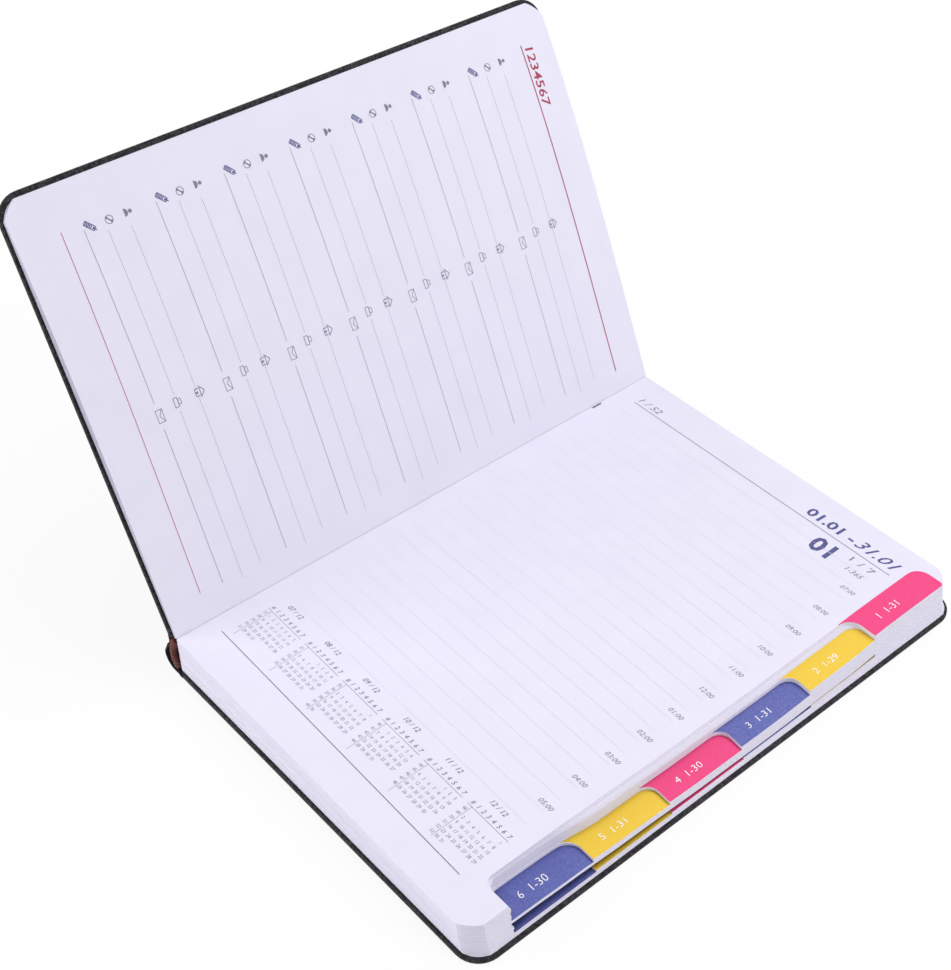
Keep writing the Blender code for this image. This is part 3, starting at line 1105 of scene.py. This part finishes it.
@dataclass
class PrintRun:
    """Marks of one ink, drawn flat and then laid on a page."""

    name: str
    ink: Finish
    marks: list[Object] = field(default_factory=list)
    words: list[Object] = field(default_factory=list)

    def stamp(self, obj: Object, x: float, y: float, turn: float = 0.0) -> None:
        """Put a mark drawn about the origin in its place, in millimetres and radians."""
        obj.data.transform(Matrix.Translation((x * MM, y * MM, 0.0)) @ Matrix.Rotation(turn, 4, "Z"))
        self.marks.append(obj)

    def figures(self, text: str, x: float, y: float, cut: Cut, align: Align = Align.LEFT,
                turn: float = 0.0, leading: float = 0.0) -> None:
        """Set a line of figures, or a column of lines.

        Args:
            text: Plain figures and signs.
            x: Place across the page, in millimetres.
            y: Height of the first baseline, in millimetres.
            cut: Size and shape of the figures.
            align: Which part of the line is at x.
            turn: Turn of the line, in radians.
            leading: Distance between the lines, in millimetres.
        """
        deselect()
        bpy.ops.object.text_add(location=(x * MM, y * MM, 0.0), rotation=(0.0, 0.0, turn))
        run = bpy.context.object
        run.data.body = text
        run.data.align_x = align.value
        run.data.size = cut.height * MM / FIGURE_SHARE
        run.data.shear = cut.slant
        run.data.offset = cut.weight * MM
        run.data.resolution_u = 2
        if leading:
            run.data.space_line = leading * MM / run.data.size
        run.scale = (cut.narrow, 1.0, 1.0)
        self.words.append(run)

    def rule(self, x0: float, y0: float, x1: float, y1: float, width: float, steps: int = 1) -> None:
        """Draw a straight rule, in millimetres.

        Args:
            x0: Start across the page.
            y0: Start along the page.
            x1: End across the page.
            y1: End along the page.
            width: Thickness of the rule.
            steps: Pieces that it is cut into, so that it can follow a bowed page.
        """
        length, turn = math.hypot(x1 - x0, y1 - y0), math.atan2(y1 - y0, x1 - x0)
        obj = flat_sheet(self.name + "_rule", (0.0, -width * MM / 2.0), (length * MM, width * MM / 2.0))
        if steps > 1:
            slice_sheet(obj, [length * MM * step / steps for step in range(1, steps)], 0)
        self.stamp(obj, x0, y0, turn)

    def dots(self, x0: float, x1: float, y: float, size: float, pitch: float) -> None:
        """Draw a rule of short dashes, in millimetres.

        Args:
            x0: First dash across the page.
            x1: Last dash across the page.
            y: Place along the page.
            size: Length of a dash, twice its width.
            pitch: Distance between dashes.
        """
        obj = flat_sheet(self.name + "_dots", (x0 * MM, (y - size / 4.0) * MM),
                         ((x0 + size) * MM, (y + size / 4.0) * MM))
        row = obj.modifiers.new("row", "ARRAY")
        row.use_relative_offset = False
        row.use_constant_offset = True
        row.constant_offset_displace = (pitch * MM, 0.0, 0.0)
        row.count = int((x1 - x0) / pitch) + 1
        bpy.ops.object.modifier_apply(modifier="row")
        self.marks.append(obj)

    def frame(self, x: float, y: float, width: float, height: float, line: float, radius: float = 0.0,
              turn: float = 0.0) -> None:
        """Draw an outlined box, in millimetres.

        Args:
            x: Centre across the page.
            y: Centre along the page.
            width: Outer width.
            height: Outer height.
            line: Thickness of the outline.
            radius: Rounding of its corners.
            turn: Turn of the box, in radians.
        """
        half_w, half_h = width * MM / 2.0, height * MM / 2.0
        obj = flat_sheet(self.name + "_frame", (-half_w, -half_h), (half_w, half_h))
        if radius:
            corners = [(x_side, y_side) for x_side in (-half_w, half_w) for y_side in (-half_h, half_h)]
            round_corners(obj, corners, radius * MM, 3)
        enter(obj)
        bpy.ops.mesh.inset(thickness=line * MM)
        bpy.ops.mesh.delete(type="FACE")
        leave()
        self.stamp(obj, x, y, turn)

    def disc(self, x: float, y: float, radius: float, line: float = 0.0, above: Optional[float] = None,
             sides: int = 20) -> None:
        """Draw a disc, a ring, or the part of a disc above a line, in millimetres.

        Args:
            x: Centre across the page.
            y: Centre along the page.
            radius: Outer radius.
            line: Thickness of a ring, or zero for a full disc.
            above: Height above the centre that the disc is kept from.
            sides: Sides of the disc.
        """
        deselect()
        bpy.ops.mesh.primitive_circle_add(vertices=sides, radius=radius * MM, fill_type="NGON")
        obj = bpy.context.object
        enter(obj)
        if line:
            bpy.ops.mesh.inset(thickness=line * MM)
            bpy.ops.mesh.delete(type="FACE")
        if above is not None:
            bpy.ops.mesh.bisect(plane_co=(0.0, above * MM, 0.0), plane_no=(0.0, 1.0, 0.0),
                                clear_inner=True)
        leave()
        self.stamp(obj, x, y)

    def draw(self) -> Object:
        """Turn the figures into mesh and join all marks into one flat piece.

        Returns:
            The flat print of this ink.
        """
        if self.words:
            choose(*self.words)
            bpy.ops.object.convert(target="MESH")
            bpy.ops.object.transform_apply(location=True, rotation=True, scale=True)
        flat = join(self.name, self.marks + self.words)
        self.marks, self.words = [flat], []
        return flat

    def repeat(self, times: int, step: float) -> None:
        """Repeat what is drawn so far up the page.

        Args:
            times: How often it is drawn in all.
            step: Distance between repeats, in millimetres.
        """
        obj = self.draw()
        enter(obj)
        for _ in range(times - 1):
            bpy.ops.mesh.duplicate_move(TRANSFORM_OT_translate={"value": (0.0, step * MM, 0.0)})
        leave()

    def lay(self, place: Callable[[Vector], Vector], body: str) -> Object:
        """Lay the print on its page.

        Args:
            place: Puts a point of the flat print on the page.
            body: Body that the page moves with.

        Returns:
            The finished print.
        """
        obj = self.draw()
        remap(obj, place)
        dress(obj, self.ink)
        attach(obj, body)
        return obj


@dataclass
class DayPage:
    """Print of the right page: rules, hours, a big date and six small calendars, placed in millimetres."""

    film: float = 0.03 * MM
    # Skew of the print at a height on the page, and how much of it is lost over a span above that
    skew: float = 0.0171
    skew_loss: float = 0.0121
    skew_low: float = 12.0
    skew_span: float = 179.0
    # Writing lines: their ends, the lowest one, their width, and the cuts that let them follow the page
    rule_ends: tuple[float, float] = (7.0, 122.0)
    rule_low: float = 37.5
    rule_pitch: float = 6.39
    rule_w: float = 0.16
    rules: int = 24
    rule_cuts: int = 23
    # Dark rules at the head, at the foot and in the gutter: both ends and the width
    dark_rules: tuple[tuple[float, float, float, float, float], ...] = (
        (7.8, 191.0, 124.9, 191.0, 0.24), (6.0, 12.7, 122.7, 12.7, 0.24), (0.5, 177.0, 0.5, 181.3, 0.7))
    # Lines of figures at the head of the page: what they say, where they start, and their cut
    grey_lines: tuple[tuple[str, float, float, Cut], ...] = (
        ("1 / 52", 7.4, 192.5, Cut(2.6, slant=0.3, narrow=1.25)),
        ("1 / 7", 110.6, 186.6, Cut(2.5, narrow=1.6)),
        ("1-365", 112.8, 182.3, Cut(1.9, slant=0.3, narrow=1.1)))
    blue_lines: tuple[tuple[str, float, float, Cut], ...] = (
        ("01.01 -", 87.2, 193.2, Cut(3.9, slant=0.05, weight=0.15, narrow=1.25)),
        ("31.01", 107.6, 193.2, Cut(4.2, slant=0.4, weight=0.05, narrow=1.25)),
        ("01", 97.9, 181.4, Cut(6.7, weight=0.3, narrow=1.05)))
    hours: tuple[int, ...] = (7, 8, 9, 10, 11, 12, 1, 2, 3, 4, 5)
    hour_left: float = 117.6
    hour_high: float = 174.8
    hour_pitch: float = 12.96
    hour_cut: Cut = Cut(1.7, slant=0.25)
    # Small calendars: the first one's month and place, and the spacing of calendars, days and weeks
    first_month: int = 7
    calendar_left: float = 8.2
    calendar_top: float = 30.3
    calendar_pitch: float = 19.7
    column: float = 2.2
    row: float = 2.36
    first_row: float = 3.1
    # From the first heading of a calendar: where its month stands, and its rules' ends and widths
    month_at: tuple[float, float] = (2.6, 3.9)
    head_rules: tuple[tuple[float, float, float, float, float], ...] = (
        (-1.0, -0.75, 16.6, -0.75, 0.12), (1.1, -0.75, 1.1, -15.6, 0.1))
    month_cut: Cut = Cut(1.7, slant=0.25)
    week_cut: Cut = Cut(1.5, slant=0.2, narrow=0.8)
    day_cut: Cut = Cut(1.5, slant=0.2)
    date_cut: Cut = Cut(1.15, narrow=0.85)
    # Column in which each month starts, its days, and the number of its first week
    starts: tuple[int, ...] = (0, 3, 6, 1, 4, 6)
    lengths: tuple[int, ...] = (31, 31, 30, 31, 30, 31)
    first_week: tuple[int, ...] = (27, 31, 35, 40, 44, 48)

    def place(self, point: Vector) -> Vector:
        """Lay a point of the flat print on the top leaf, with the press's slight skew.

        Args:
            point: Place across the page and along it.

        Returns:
            The place in the row frame.
        """
        skew = self.skew - self.skew_loss * (point.y / MM - self.skew_low) / self.skew_span
        stack = point.x / (1.0 - LEAN / PAGE_W)
        settled = settle(Vector((stack, point.y - point.x * skew, BLOCK_T)))
        return settled + Vector((0.0, 0.0, self.film))

    def calendars(self, figures: PrintRun, heads: PrintRun) -> None:
        """Set six months of dates along the foot of the page.

        Args:
            figures: Ink of the dates.
            heads: Ink of the headings and rules.
        """
        def dates(column: float, lines: list[str]) -> None:
            """Set one column of a calendar."""
            figures.figures("\n".join(lines), column, self.calendar_top - self.first_row, self.date_cut,
                            Align.CENTER, leading=self.row)

        top = self.calendar_top
        for index, (start, length) in enumerate(zip(self.starts, self.lengths)):
            left = self.calendar_left + self.calendar_pitch * index
            month = f"{index + self.first_month:02d} / 12"
            heads.figures(month, left + self.month_at[0], top + self.month_at[1], self.month_cut)
            heads.figures("#", left, top, self.week_cut, Align.CENTER)
            for x0, y0, x1, y1, width in self.head_rules:
                heads.rule(left + x0, top + y0, left + x1, top + y1, width)
            weeks = (start + length + 6) // 7
            dates(left, [str(self.first_week[index] + week) for week in range(weeks)])
            for day in range(1, 8):
                column = left + self.column * day
                heads.figures(str(day), column, top, self.day_cut, Align.CENTER)
                column_dates = [week * 7 + day - start for week in range(weeks)]
                dates(column, [str(date) if 1 <= date <= length else " " for date in column_dates])

    def build(self) -> list[Object]:
        """Draw the whole page.

        Returns:
            One piece for each ink.
        """
        pale = PrintRun("day_page_rules", PALE_INK)
        for index in range(self.rules):
            y = self.rule_low + self.rule_pitch * index
            pale.rule(self.rule_ends[0], y, self.rule_ends[1], y, self.rule_w, self.rule_cuts)
        dark = PrintRun("day_page_dark_print", DARK_INK)
        for rule in self.dark_rules:
            dark.rule(*rule)
        grey = PrintRun("day_page_grey_print", GREY_INK)
        for line in self.grey_lines:
            grey.figures(*line)
        for index, hour in enumerate(self.hours):
            y = self.hour_high - self.hour_pitch * index
            grey.figures(f"{hour:02d}:00", self.hour_left, y, self.hour_cut)
        self.calendars(grey, dark)
        blue = PrintRun("day_page_blue_print", BLUE_INK)
        for line in self.blue_lines:
            blue.figures(*line)
        return [run.lay(self.place, "month_01") for run in (pale, dark, grey, blue)]


@dataclass
class ContactPage:
    """Print of the left page: seven entries of signs and writing lines between two red rules.

    Places are in millimetres, and those across the page are negative, from the gutter outwards.
    """

    film: float = 0.03 * MM
    entries: int = 7
    pitch: float = 24.43
    # Columns of signs, along the outer edge and down the middle, and the tilt of the pocket phone
    outer: float = -126.0
    middle: float = -68.0
    tilt: float = math.radians(44.0)
    # Pieces that a long rule is cut into, so that it follows the belly, and the width of a thin one
    long_cuts: int = 28
    half_cuts: int = 14
    thin: float = 0.15
    # Writing lines of the lowest entry, plain and dotted: both ends, and the height on the page
    plain_lines: tuple[tuple[float, float, float], ...] = ((-125.6, -70.6, 20.8), (-62.2, -9.2, 20.8))
    dotted_lines: tuple[tuple[float, float, float], ...] = (
        (-123.0, -71.0, 27.8), (-65.0, -7.7, 27.8), (-121.6, -9.8, 35.1))
    # Length and spacing of the dashes in a dotted line
    dash: float = 0.36
    dash_pitch: float = 0.75
    # Red rules at the foot and the head, with both ends and the width, and the figures above the upper one
    red_rules: tuple[tuple[float, float, float, float, float], ...] = (
        (-127.4, 14.0, -9.8, 12.6, 0.2), (-128.3, 192.0, -7.8, 192.0, 0.42))
    title: tuple[str, float, float, Cut] = (
        "1234567", -128.0, 193.3, Cut(3.3, slant=0.1, weight=0.06, narrow=1.28))

    def signs(self, blue: PrintRun, grey: PrintRun) -> None:
        """Draw the signs and lines of the lowest entry.

        Args:
            blue: Ink of the pocket-phone sign.
            grey: Ink of everything else.
        """
        # Pocket phone with its keys
        along, across = math.cos(self.tilt), math.sin(self.tilt)
        x, y = self.outer - 0.1, 22.9
        blue.frame(x, y, 4.0, 1.6, 0.28, 0.35, self.tilt)
        blue.disc(x + 1.35 * along, y + 1.35 * across, 0.40, sides=8)
        blue.rule(x + 1.9 * along, y + 1.9 * across, x + 2.6 * along, y + 2.6 * across, 0.25)
        for step in range(5):
            near, far = -1.6 + 0.48 * step, -1.28 + 0.48 * step
            blue.rule(x + near * along, y + near * across, x + far * along, y + far * across, 0.95)
        # Telephone in a ring
        grey.disc(self.outer + 0.2, 29.3, 1.35, 0.22)
        grey.rule(self.outer - 0.5, 28.6, self.outer + 0.9, 30.0, 0.42)
        grey.disc(self.outer - 0.5, 28.65, 0.42, sides=8)
        grey.disc(self.outer + 0.85, 29.95, 0.42, sides=8)
        # Person
        grey.disc(self.outer + 0.1, 36.4, 0.62, sides=12)
        grey.disc(self.outer + 0.1, 34.4, 1.25, above=0.0)
        # Envelope
        x = self.middle + 1.7
        grey.frame(x, 21.2, 4.2, 2.4, 0.2)
        grey.rule(x - 1.9, 22.2, x, 21.0, 0.2)
        grey.rule(x, 21.0, x + 1.9, 22.2, 0.2)
        # Printer with its sheet
        x = self.middle
        grey.frame(x, 27.5, 3.2, 1.5, 0.22)
        grey.frame(x, 28.7, 1.9, 1.1, 0.2)
        # House
        grey.frame(x, 35.3, 2.6, 1.9, 0.24)
        grey.rule(x - 1.9, 35.9, x, 37.6, 0.26)
        grey.rule(x, 37.6, x + 1.9, 35.9, 0.26)
        grey.rule(x, 34.5, x, 35.4, 0.6)
        # Writing lines, plain and dotted
        for start, end, line in self.plain_lines:
            grey.rule(start, line, end, line, self.thin, self.half_cuts)
        for start, end, line in self.dotted_lines:
            grey.dots(start, end, line, self.dash, self.dash_pitch)

    def build(self, leaves: FrontLeaves) -> list[Object]:
        """Draw the whole page on the front leaves.

        Args:
            leaves: The leaves that carry the page.

        Returns:
            One piece for each ink.
        """
        def place(point: Vector) -> Vector:
            """Lay a point of the flat print on the bellied page.

            Args:
                point: Place across the page and along it.

            Returns:
                The place in the row frame.
            """
            across = -point.x
            rise = leaves.bow(across) + self.film
            return stand(Vector((across, point.y, leaves.low - rise)))

        blue = PrintRun("contact_page_blue_print", BLUE_INK)
        grey = PrintRun("contact_page_grey_print", GREY_INK)
        self.signs(blue, grey)
        blue.repeat(self.entries, self.pitch)
        grey.repeat(self.entries, self.pitch)
        red = PrintRun("contact_page_red_print", RED_INK)
        for rule in self.red_rules:
            red.rule(*rule, self.long_cuts)
        red.figures(*self.title)
        pieces = [run.lay(place, "front_leaves") for run in (blue, grey, red)]
        for piece in pieces:
            leaves.flatten(piece)
        return pieces


@dataclass
class TabIndex:
    """Coloured index tabs on the month sections, each with white figures."""

    film: float = 0.035 * MM
    # How far the colour runs in from the step: on the open top leaf and foot, and under the leaves above
    under: float = 0.5 * MM
    tuck: float = 3.0 * MM
    # What the colour leaves bare: along the page's edge, at the tab's lower end, and along the step below it
    trim: float = 0.06 * MM
    gap: float = 0.02 * MM
    border: float = 0.2 * MM
    corner_r: float = 5.0 * MM
    clip: float = 0.9 * MM
    days: tuple[int, ...] = (31, 29, 31, 30, 31, 30, 31, 31, 30, 31, 30, 31)
    # Figures in millimetres: their cut, baseline across the page, and start above the tab's lower end
    cut: Cut = Cut(2.6, weight=-0.03)
    baseline: float = 138.0
    start: float = 6.4
    figure_film: float = 0.055 * MM

    def lift(self, block: LeafBlock, month: int, film: float) -> Callable[[Vector], Vector]:
        """Give the function that lays flat print on a month's top leaf.

        Args:
            block: The sections that carry the tabs.
            month: Number of the month.
            film: Height of the print above the leaf.

        Returns:
            A function from the flat print to the row frame.
        """
        place, top = block.place(month), block.section_top(month)
        return lambda at: place(Vector((at.x, at.y, top))) + Vector((0.0, 0.0, film))

    def patch(self, block: LeafBlock, month: int) -> Object:
        """Cut the flat patch of colour of a month's tab.

        Args:
            block: The sections that carry the tabs.
            month: Number of the month.

        Returns:
            The flat patch.
        """
        low, high = block.tab_span(month)
        step, outer = PAGE_W - block.notch_depth, PAGE_W - self.trim
        inner = step - (self.under if month == 1 else self.tuck)
        foot = low - (block.notch_head_r if block.stepped(month) else self.under)
        patch = flat_sheet(f"tab_colour_{month:02d}", (inner, foot), (outer, high))
        if block.stepped(month):
            block.cut_step(patch, step - self.border, foot - MM, low + self.gap)
        round_corners(patch, [(inner, high)], self.corner_r)
        if high > PAGE_H - CORNER_CUT:
            round_corners(patch, [(outer, high)], self.clip, 1)
        block.slice_fore_edge(patch)
        return patch

    def build(self, block: LeafBlock) -> list[Object]:
        """Print the twelve tabs.

        Args:
            block: The sections that carry the tabs.

        Returns:
            Two pieces for each month: its colour and its figures.
        """
        pieces = []
        for month in range(1, block.months + 1):
            body = f"month_{month:02d}"
            patch = self.patch(block, month)
            remap(patch, self.lift(block, month, self.film))
            dress(patch, TAB_INKS[(month - 1) % len(TAB_INKS)])
            run = PrintRun(f"tab_figures_{month:02d}", WHITE_INK)
            start = block.tab_span(month)[0] / MM + self.start
            run.figures(f"{month}  1-{self.days[month - 1]}", self.baseline, start, self.cut,
                        turn=math.pi / 2.0)
            block.slice_fore_edge(run.draw())
            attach(patch, body)
            pieces += [patch, run.lay(self.lift(block, month, self.figure_film), body)]
        return pieces


# Case and spine


@dataclass
class Case:
    """The two covers: leatherette over greyboard, with pasted endpapers."""

    sides: tuple[str, str] = ("back", "front")
    # Sharpest edge that is still shaded smooth, in degrees
    crease: float = 32.0

    def build(self) -> list[Object]:
        """Dress the covers' solids.

        Returns:
            The dressed solids.
        """
        finishes = {"cover_skin": LEATHER, "board": BOARD, "lining": ENDPAPER, "flyleaf": ENDPAPER}
        dressed = []
        for side in self.sides:
            for part, finish in finishes.items():
                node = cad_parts[f"{side}_{part}"]
                dress(node, finish)
                ease(node, self.crease)
                dressed.append(node)
        return dressed


@dataclass
class Spine:
    """The hollow spine with its lining, its leather joints and the cloth on the leaves."""

    tail: float = -1.0 * MM
    head: float = 206.0 * MM
    sheet_t: float = 0.30 * MM
    foot_t: float = 0.22 * MM
    # Sharpest edge that is still shaded smooth, in degrees
    crease: float = 40.0
    # Cross-section of the front joint in mm, from inside the spine's top edge to the front cover's outer face
    joint_path: tuple[tuple[float, float], ...] = (
        (-4.69, 10.24), (-4.51, 10.58), (-4.33, 10.93), (-4.15, 11.27), (-3.98, 11.60), (-3.81, 11.95),
        (-3.67, 12.30), (-3.55, 12.65), (-3.45, 13.00), (-3.38, 13.35), (-3.33, 13.70), (-3.30, 14.02),
        (-3.29, 14.35), (-3.30, 14.65), (-3.33, 14.95), (-3.42, 15.41), (-3.63, 15.88))
    # Cross-section of the back joint in mm, from the back cover's edge to the spine's foot
    foot_path: tuple[tuple[float, float], ...] = (
        (1.30, 0.30), (0.95, 0.24), (0.55, 0.26), (0.15, 0.34), (-0.40, 0.38))

    def joints(self) -> list[Object]:
        """Make the two flexible joints of the case.

        Returns:
            The front joint and the back joint.
        """
        ends = (self.tail, self.head)
        front = sweep("front_joint_leather", self.joint_path, ends, self.sheet_t)
        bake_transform(front)
        back = sweep("back_joint_leather", self.foot_path, ends, -self.foot_t)
        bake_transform(back)
        for joint in (front, back):
            dress(joint, LEATHER)
        return [front, back]

    def build(self) -> list[Object]:
        """Dress the spine's solids and add its joints.

        Returns:
            The spine's pieces.
        """
        pieces = []
        for name, finish in {"spine_strip": LEATHER, "spine_liner": DARK_CARD, "spine_mull": GAUZE}.items():
            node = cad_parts[name]
            dress(node, finish)
            ease(node, self.crease)
            pieces.append(node)
        return pieces + self.joints()


@dataclass
class SpineBand:
    """A cotton band wound round a core, at one end of the leaves' spine."""

    low: float = 1.9 * MM
    high: float = 14.4 * MM
    radius: float = 1.18 * MM
    rib: float = 0.24 * MM
    turns: int = 13
    rings: int = 6
    sides: int = 20
    # Arch of the band: its depth, how far its top lies towards the foot, and where its ends stand
    bulge: float = 2.35 * MM
    bias: float = 0.8
    base_x: float = -1.45 * MM
    # How much the band widens towards its ends, the share of that width at its tips, and the tips' length as
    # a part of the band's
    flare: float = 0.42
    tip: float = 0.8
    tip_part: float = 1.0 / 12.0
    # Step along the band over which its direction is taken, as a share of its length
    probe: float = 0.01
    # Distance of the band from the page's end, towards its middle
    inset: float = 0.17 * MM
    # Sharpest edge that is still shaded smooth, in degrees
    crease: float = 60.0
    # Share of its height that the band keeps under the closed cover
    keep: float = 0.6

    def spot(self, share: float) -> Vector:
        """Give the middle of the arched band at a share of its length."""
        x = self.base_x - self.bulge * math.sin(math.pi * max(share, 0.0) ** self.bias)
        return Vector((x, 0.0, self.low + (self.high - self.low) * share))

    def build(self, name: str, node: str, along: float) -> Object:
        """Wind one band.

        Args:
            name: Name of the piece.
            node: Solid that it stands for.
            along: Place of the band along the spine.

        Returns:
            The band.
        """
        deselect()
        length = self.high - self.low
        bpy.ops.mesh.primitive_cylinder_add(vertices=self.sides, radius=self.radius, depth=length,
                                            end_fill_type="NGON")
        obj = bpy.context.object
        obj.name = obj.data.name = name
        count = self.turns * self.rings
        slice_sheet(obj, [length * (step / count - 0.5) for step in range(1, count)], 2)
        ridges = []

        def wind(point: Vector) -> Vector:
            """Swell a point with its turn of thread and arch the whole band.

            Args:
                point: Place on the straight band.

            Returns:
                The place in the row frame.
            """
            share = point.z / length + 0.5
            angle = math.atan2(point.y, point.x)
            wave = 0.5 - 0.5 * math.cos(2.0 * math.pi * (share * self.turns + angle / (2.0 * math.pi)))
            ends = min(1.0, share / self.tip_part, (1.0 - share) / self.tip_part)
            taper = self.tip + (1.0 - self.tip) * math.sin(ends * math.pi / 2.0)
            swell = (1.0 + self.rib / self.radius * (wave - 0.5)) * taper
            ridges.append(wave)
            ahead, behind = min(share + self.probe, 1.0), max(share - self.probe, 0.0)
            along_band = (self.spot(ahead) - self.spot(behind)).normalized()
            outwards = Vector((along_band.z, 0.0, -along_band.x))
            flare = 1.0 + self.flare * (1.0 - math.sin(math.pi * clamp(share)))
            bowed = self.spot(share) + outwards * point.x * swell * flare
            return Vector((GUTTER.x + bowed.x, GUTTER.y + along + point.y * swell, bowed.z))

        remap(obj, wind)
        ridge = obj.data.attributes.new("ridge", "FLOAT", "POINT")
        ridge.data.foreach_set("value", ridges)
        dress(obj, THREAD)
        smooth(obj, self.crease)
        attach(obj, "back_case")
        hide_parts(node)
        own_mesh(obj)
        return obj


# Studio


@dataclass
class Studio:
    """The camera of the photograph, a pale floor and soft light all round."""

    place: tuple[float, float, float] = (0.260191, -0.261371, 0.381494)
    right: tuple[float, float, float] = (0.65126583, 0.75879812, -0.00884452)
    up: tuple[float, float, float] = (-0.48874593, 0.42834273, 0.76003284)
    back: tuple[float, float, float] = (0.58049998, -0.4906607, 0.64982448)
    lens: float = 61.052
    sensor: float = 36.0
    nearest: float = 0.01
    world: float = 0.47
    # Point that the softboxes face, and each one's name, place, size and watts: above, beyond the tail and
    # beyond the fore-edge
    target: tuple[float, float, float] = (0.0, 0.0, 0.03)
    boxes: tuple[tuple[str, tuple[float, float, float], float, float], ...] = (
        ("overhead", (0.12, 0.60, 1.10), 1.2, 9.0), ("tail_side", (-0.7, -1.1, 0.3), 0.9, 11.6),
        ("fore_side", (1.2, 0.75, 0.75), 0.9, 5.3))
    floor_size: float = 6.0
    floor_colour: str = "#F7F7F8"
    # Share of plain white in the floor near the object, where the rest shows its shadow
    floor_glow: float = 0.9
    # Distances between which the floor fades into the white background
    fade: tuple[float, float] = (0.25, 0.9)

    def camera(self) -> None:
        """Set up the camera."""
        data = bpy.data.cameras.new("camera")
        data.lens = self.lens
        data.sensor_width = self.sensor
        data.sensor_fit = "AUTO"
        data.clip_start = self.nearest
        camera = bpy.data.objects.new("camera", data)
        bpy.context.scene.collection.objects.link(camera)
        turn = Matrix((self.right, self.up, self.back)).transposed()
        camera.matrix_world = Matrix.Translation(self.place) @ turn.to_4x4()
        bpy.context.scene.camera = camera

    def seen(self, tree: NodeTree) -> NodeSocket:
        """Tell what the camera sees, straight or mirrored, from what only lights the scene.

        Args:
            tree: Node tree of the background or the floor.

        Returns:
            One for a ray that is seen, and zero for another.
        """
        path = add_node(tree, "ShaderNodeLightPath")
        rays = {0: path.outputs["Is Camera Ray"], 1: path.outputs["Is Glossy Ray"]}
        return add_node(tree, "ShaderNodeMath", rays, operation="MAXIMUM").outputs["Value"]

    def light(self) -> None:
        """Light the scene softly from all sides, a little more from above."""
        world = bpy.data.worlds.new("studio")
        bpy.context.scene.world = world
        world.use_nodes = True
        tree = world.node_tree
        tree.nodes.clear()
        soft = add_node(tree, "ShaderNodeBackground", {"Color": linear(WHITE), "Strength": self.world})
        white = add_node(tree, "ShaderNodeBackground", {"Color": linear(WHITE), "Strength": 1.0})
        mix = add_node(tree, "ShaderNodeMixShader", {0: self.seen(tree), 1: soft.outputs[0],
                                                     2: white.outputs[0]})
        add_node(tree, "ShaderNodeOutputWorld", {"Surface": mix.outputs[0]})
        for name, where, size, watts in self.boxes:
            data = bpy.data.lights.new(name, "AREA")
            data.size = size
            data.energy = watts
            lamp = bpy.data.objects.new(name, data)
            bpy.context.scene.collection.objects.link(lamp)
            aim = (Vector(self.target) - Vector(where)).to_track_quat("-Z", "Y")
            lamp.matrix_world = Matrix.Translation(where) @ aim.to_matrix().to_4x4()

    def floor(self) -> None:
        """Lay a pale floor that shows white but keeps the object's shadow."""
        half = self.floor_size / 2.0
        floor = flat_sheet("floor", (-half, -half), (half, half))
        made = bpy.data.materials.new("matt_white_floor")
        made.use_nodes = True
        tree = made.node_tree
        tree.nodes.clear()
        place = add_node(tree, "ShaderNodeTexCoord").outputs["Object"]
        away = add_node(tree, "ShaderNodeVectorMath", {0: place}, operation="LENGTH").outputs["Value"]
        glow = add_node(tree, "ShaderNodeMapRange", {"Value": away, **span(self.fade),
                                                     "To Min": self.floor_glow})
        share = add_node(tree, "ShaderNodeMath", {0: self.seen(tree), 1: glow.outputs["Result"]},
                         operation="MULTIPLY")
        matt = add_node(tree, "ShaderNodeBsdfDiffuse", {"Color": linear(self.floor_colour)})
        white = add_node(tree, "ShaderNodeEmission", {"Color": linear(WHITE), "Strength": 1.0})
        mix = add_node(tree, "ShaderNodeMixShader", {0: share.outputs["Value"], 1: matt.outputs[0],
                                                     2: white.outputs[0]})
        add_node(tree, "ShaderNodeOutputMaterial", {"Surface": mix.outputs[0]})
        floor.data.materials.append(made)


def main() -> None:
    """Build the planner and report each piece."""
    logging.basicConfig(level=logging.INFO, format="%(message)s")
    bpy.context.scene.view_settings.view_transform = "Standard"
    studio = Studio()
    studio.camera()
    studio.light()
    studio.floor()
    block = LeafBlock()
    pieces = block.build()
    leaves = FrontLeaves()
    pieces.append(leaves.build(block))
    pieces += DayPage().build()
    pieces += ContactPage().build(leaves)
    pieces += TabIndex().build(block)
    pieces += Case().build()
    pieces += Spine().build()
    band = SpineBand()
    pieces.append(band.build("tail_band_thread", "tail_band", band.inset))
    pieces.append(band.build("head_band_thread", "head_band", PAGE_H - band.inset))
    for piece in pieces:
        LOG.info("%s: %d faces", piece.name, len(piece.data.polygons))


if __name__ == "__main__":
    main()
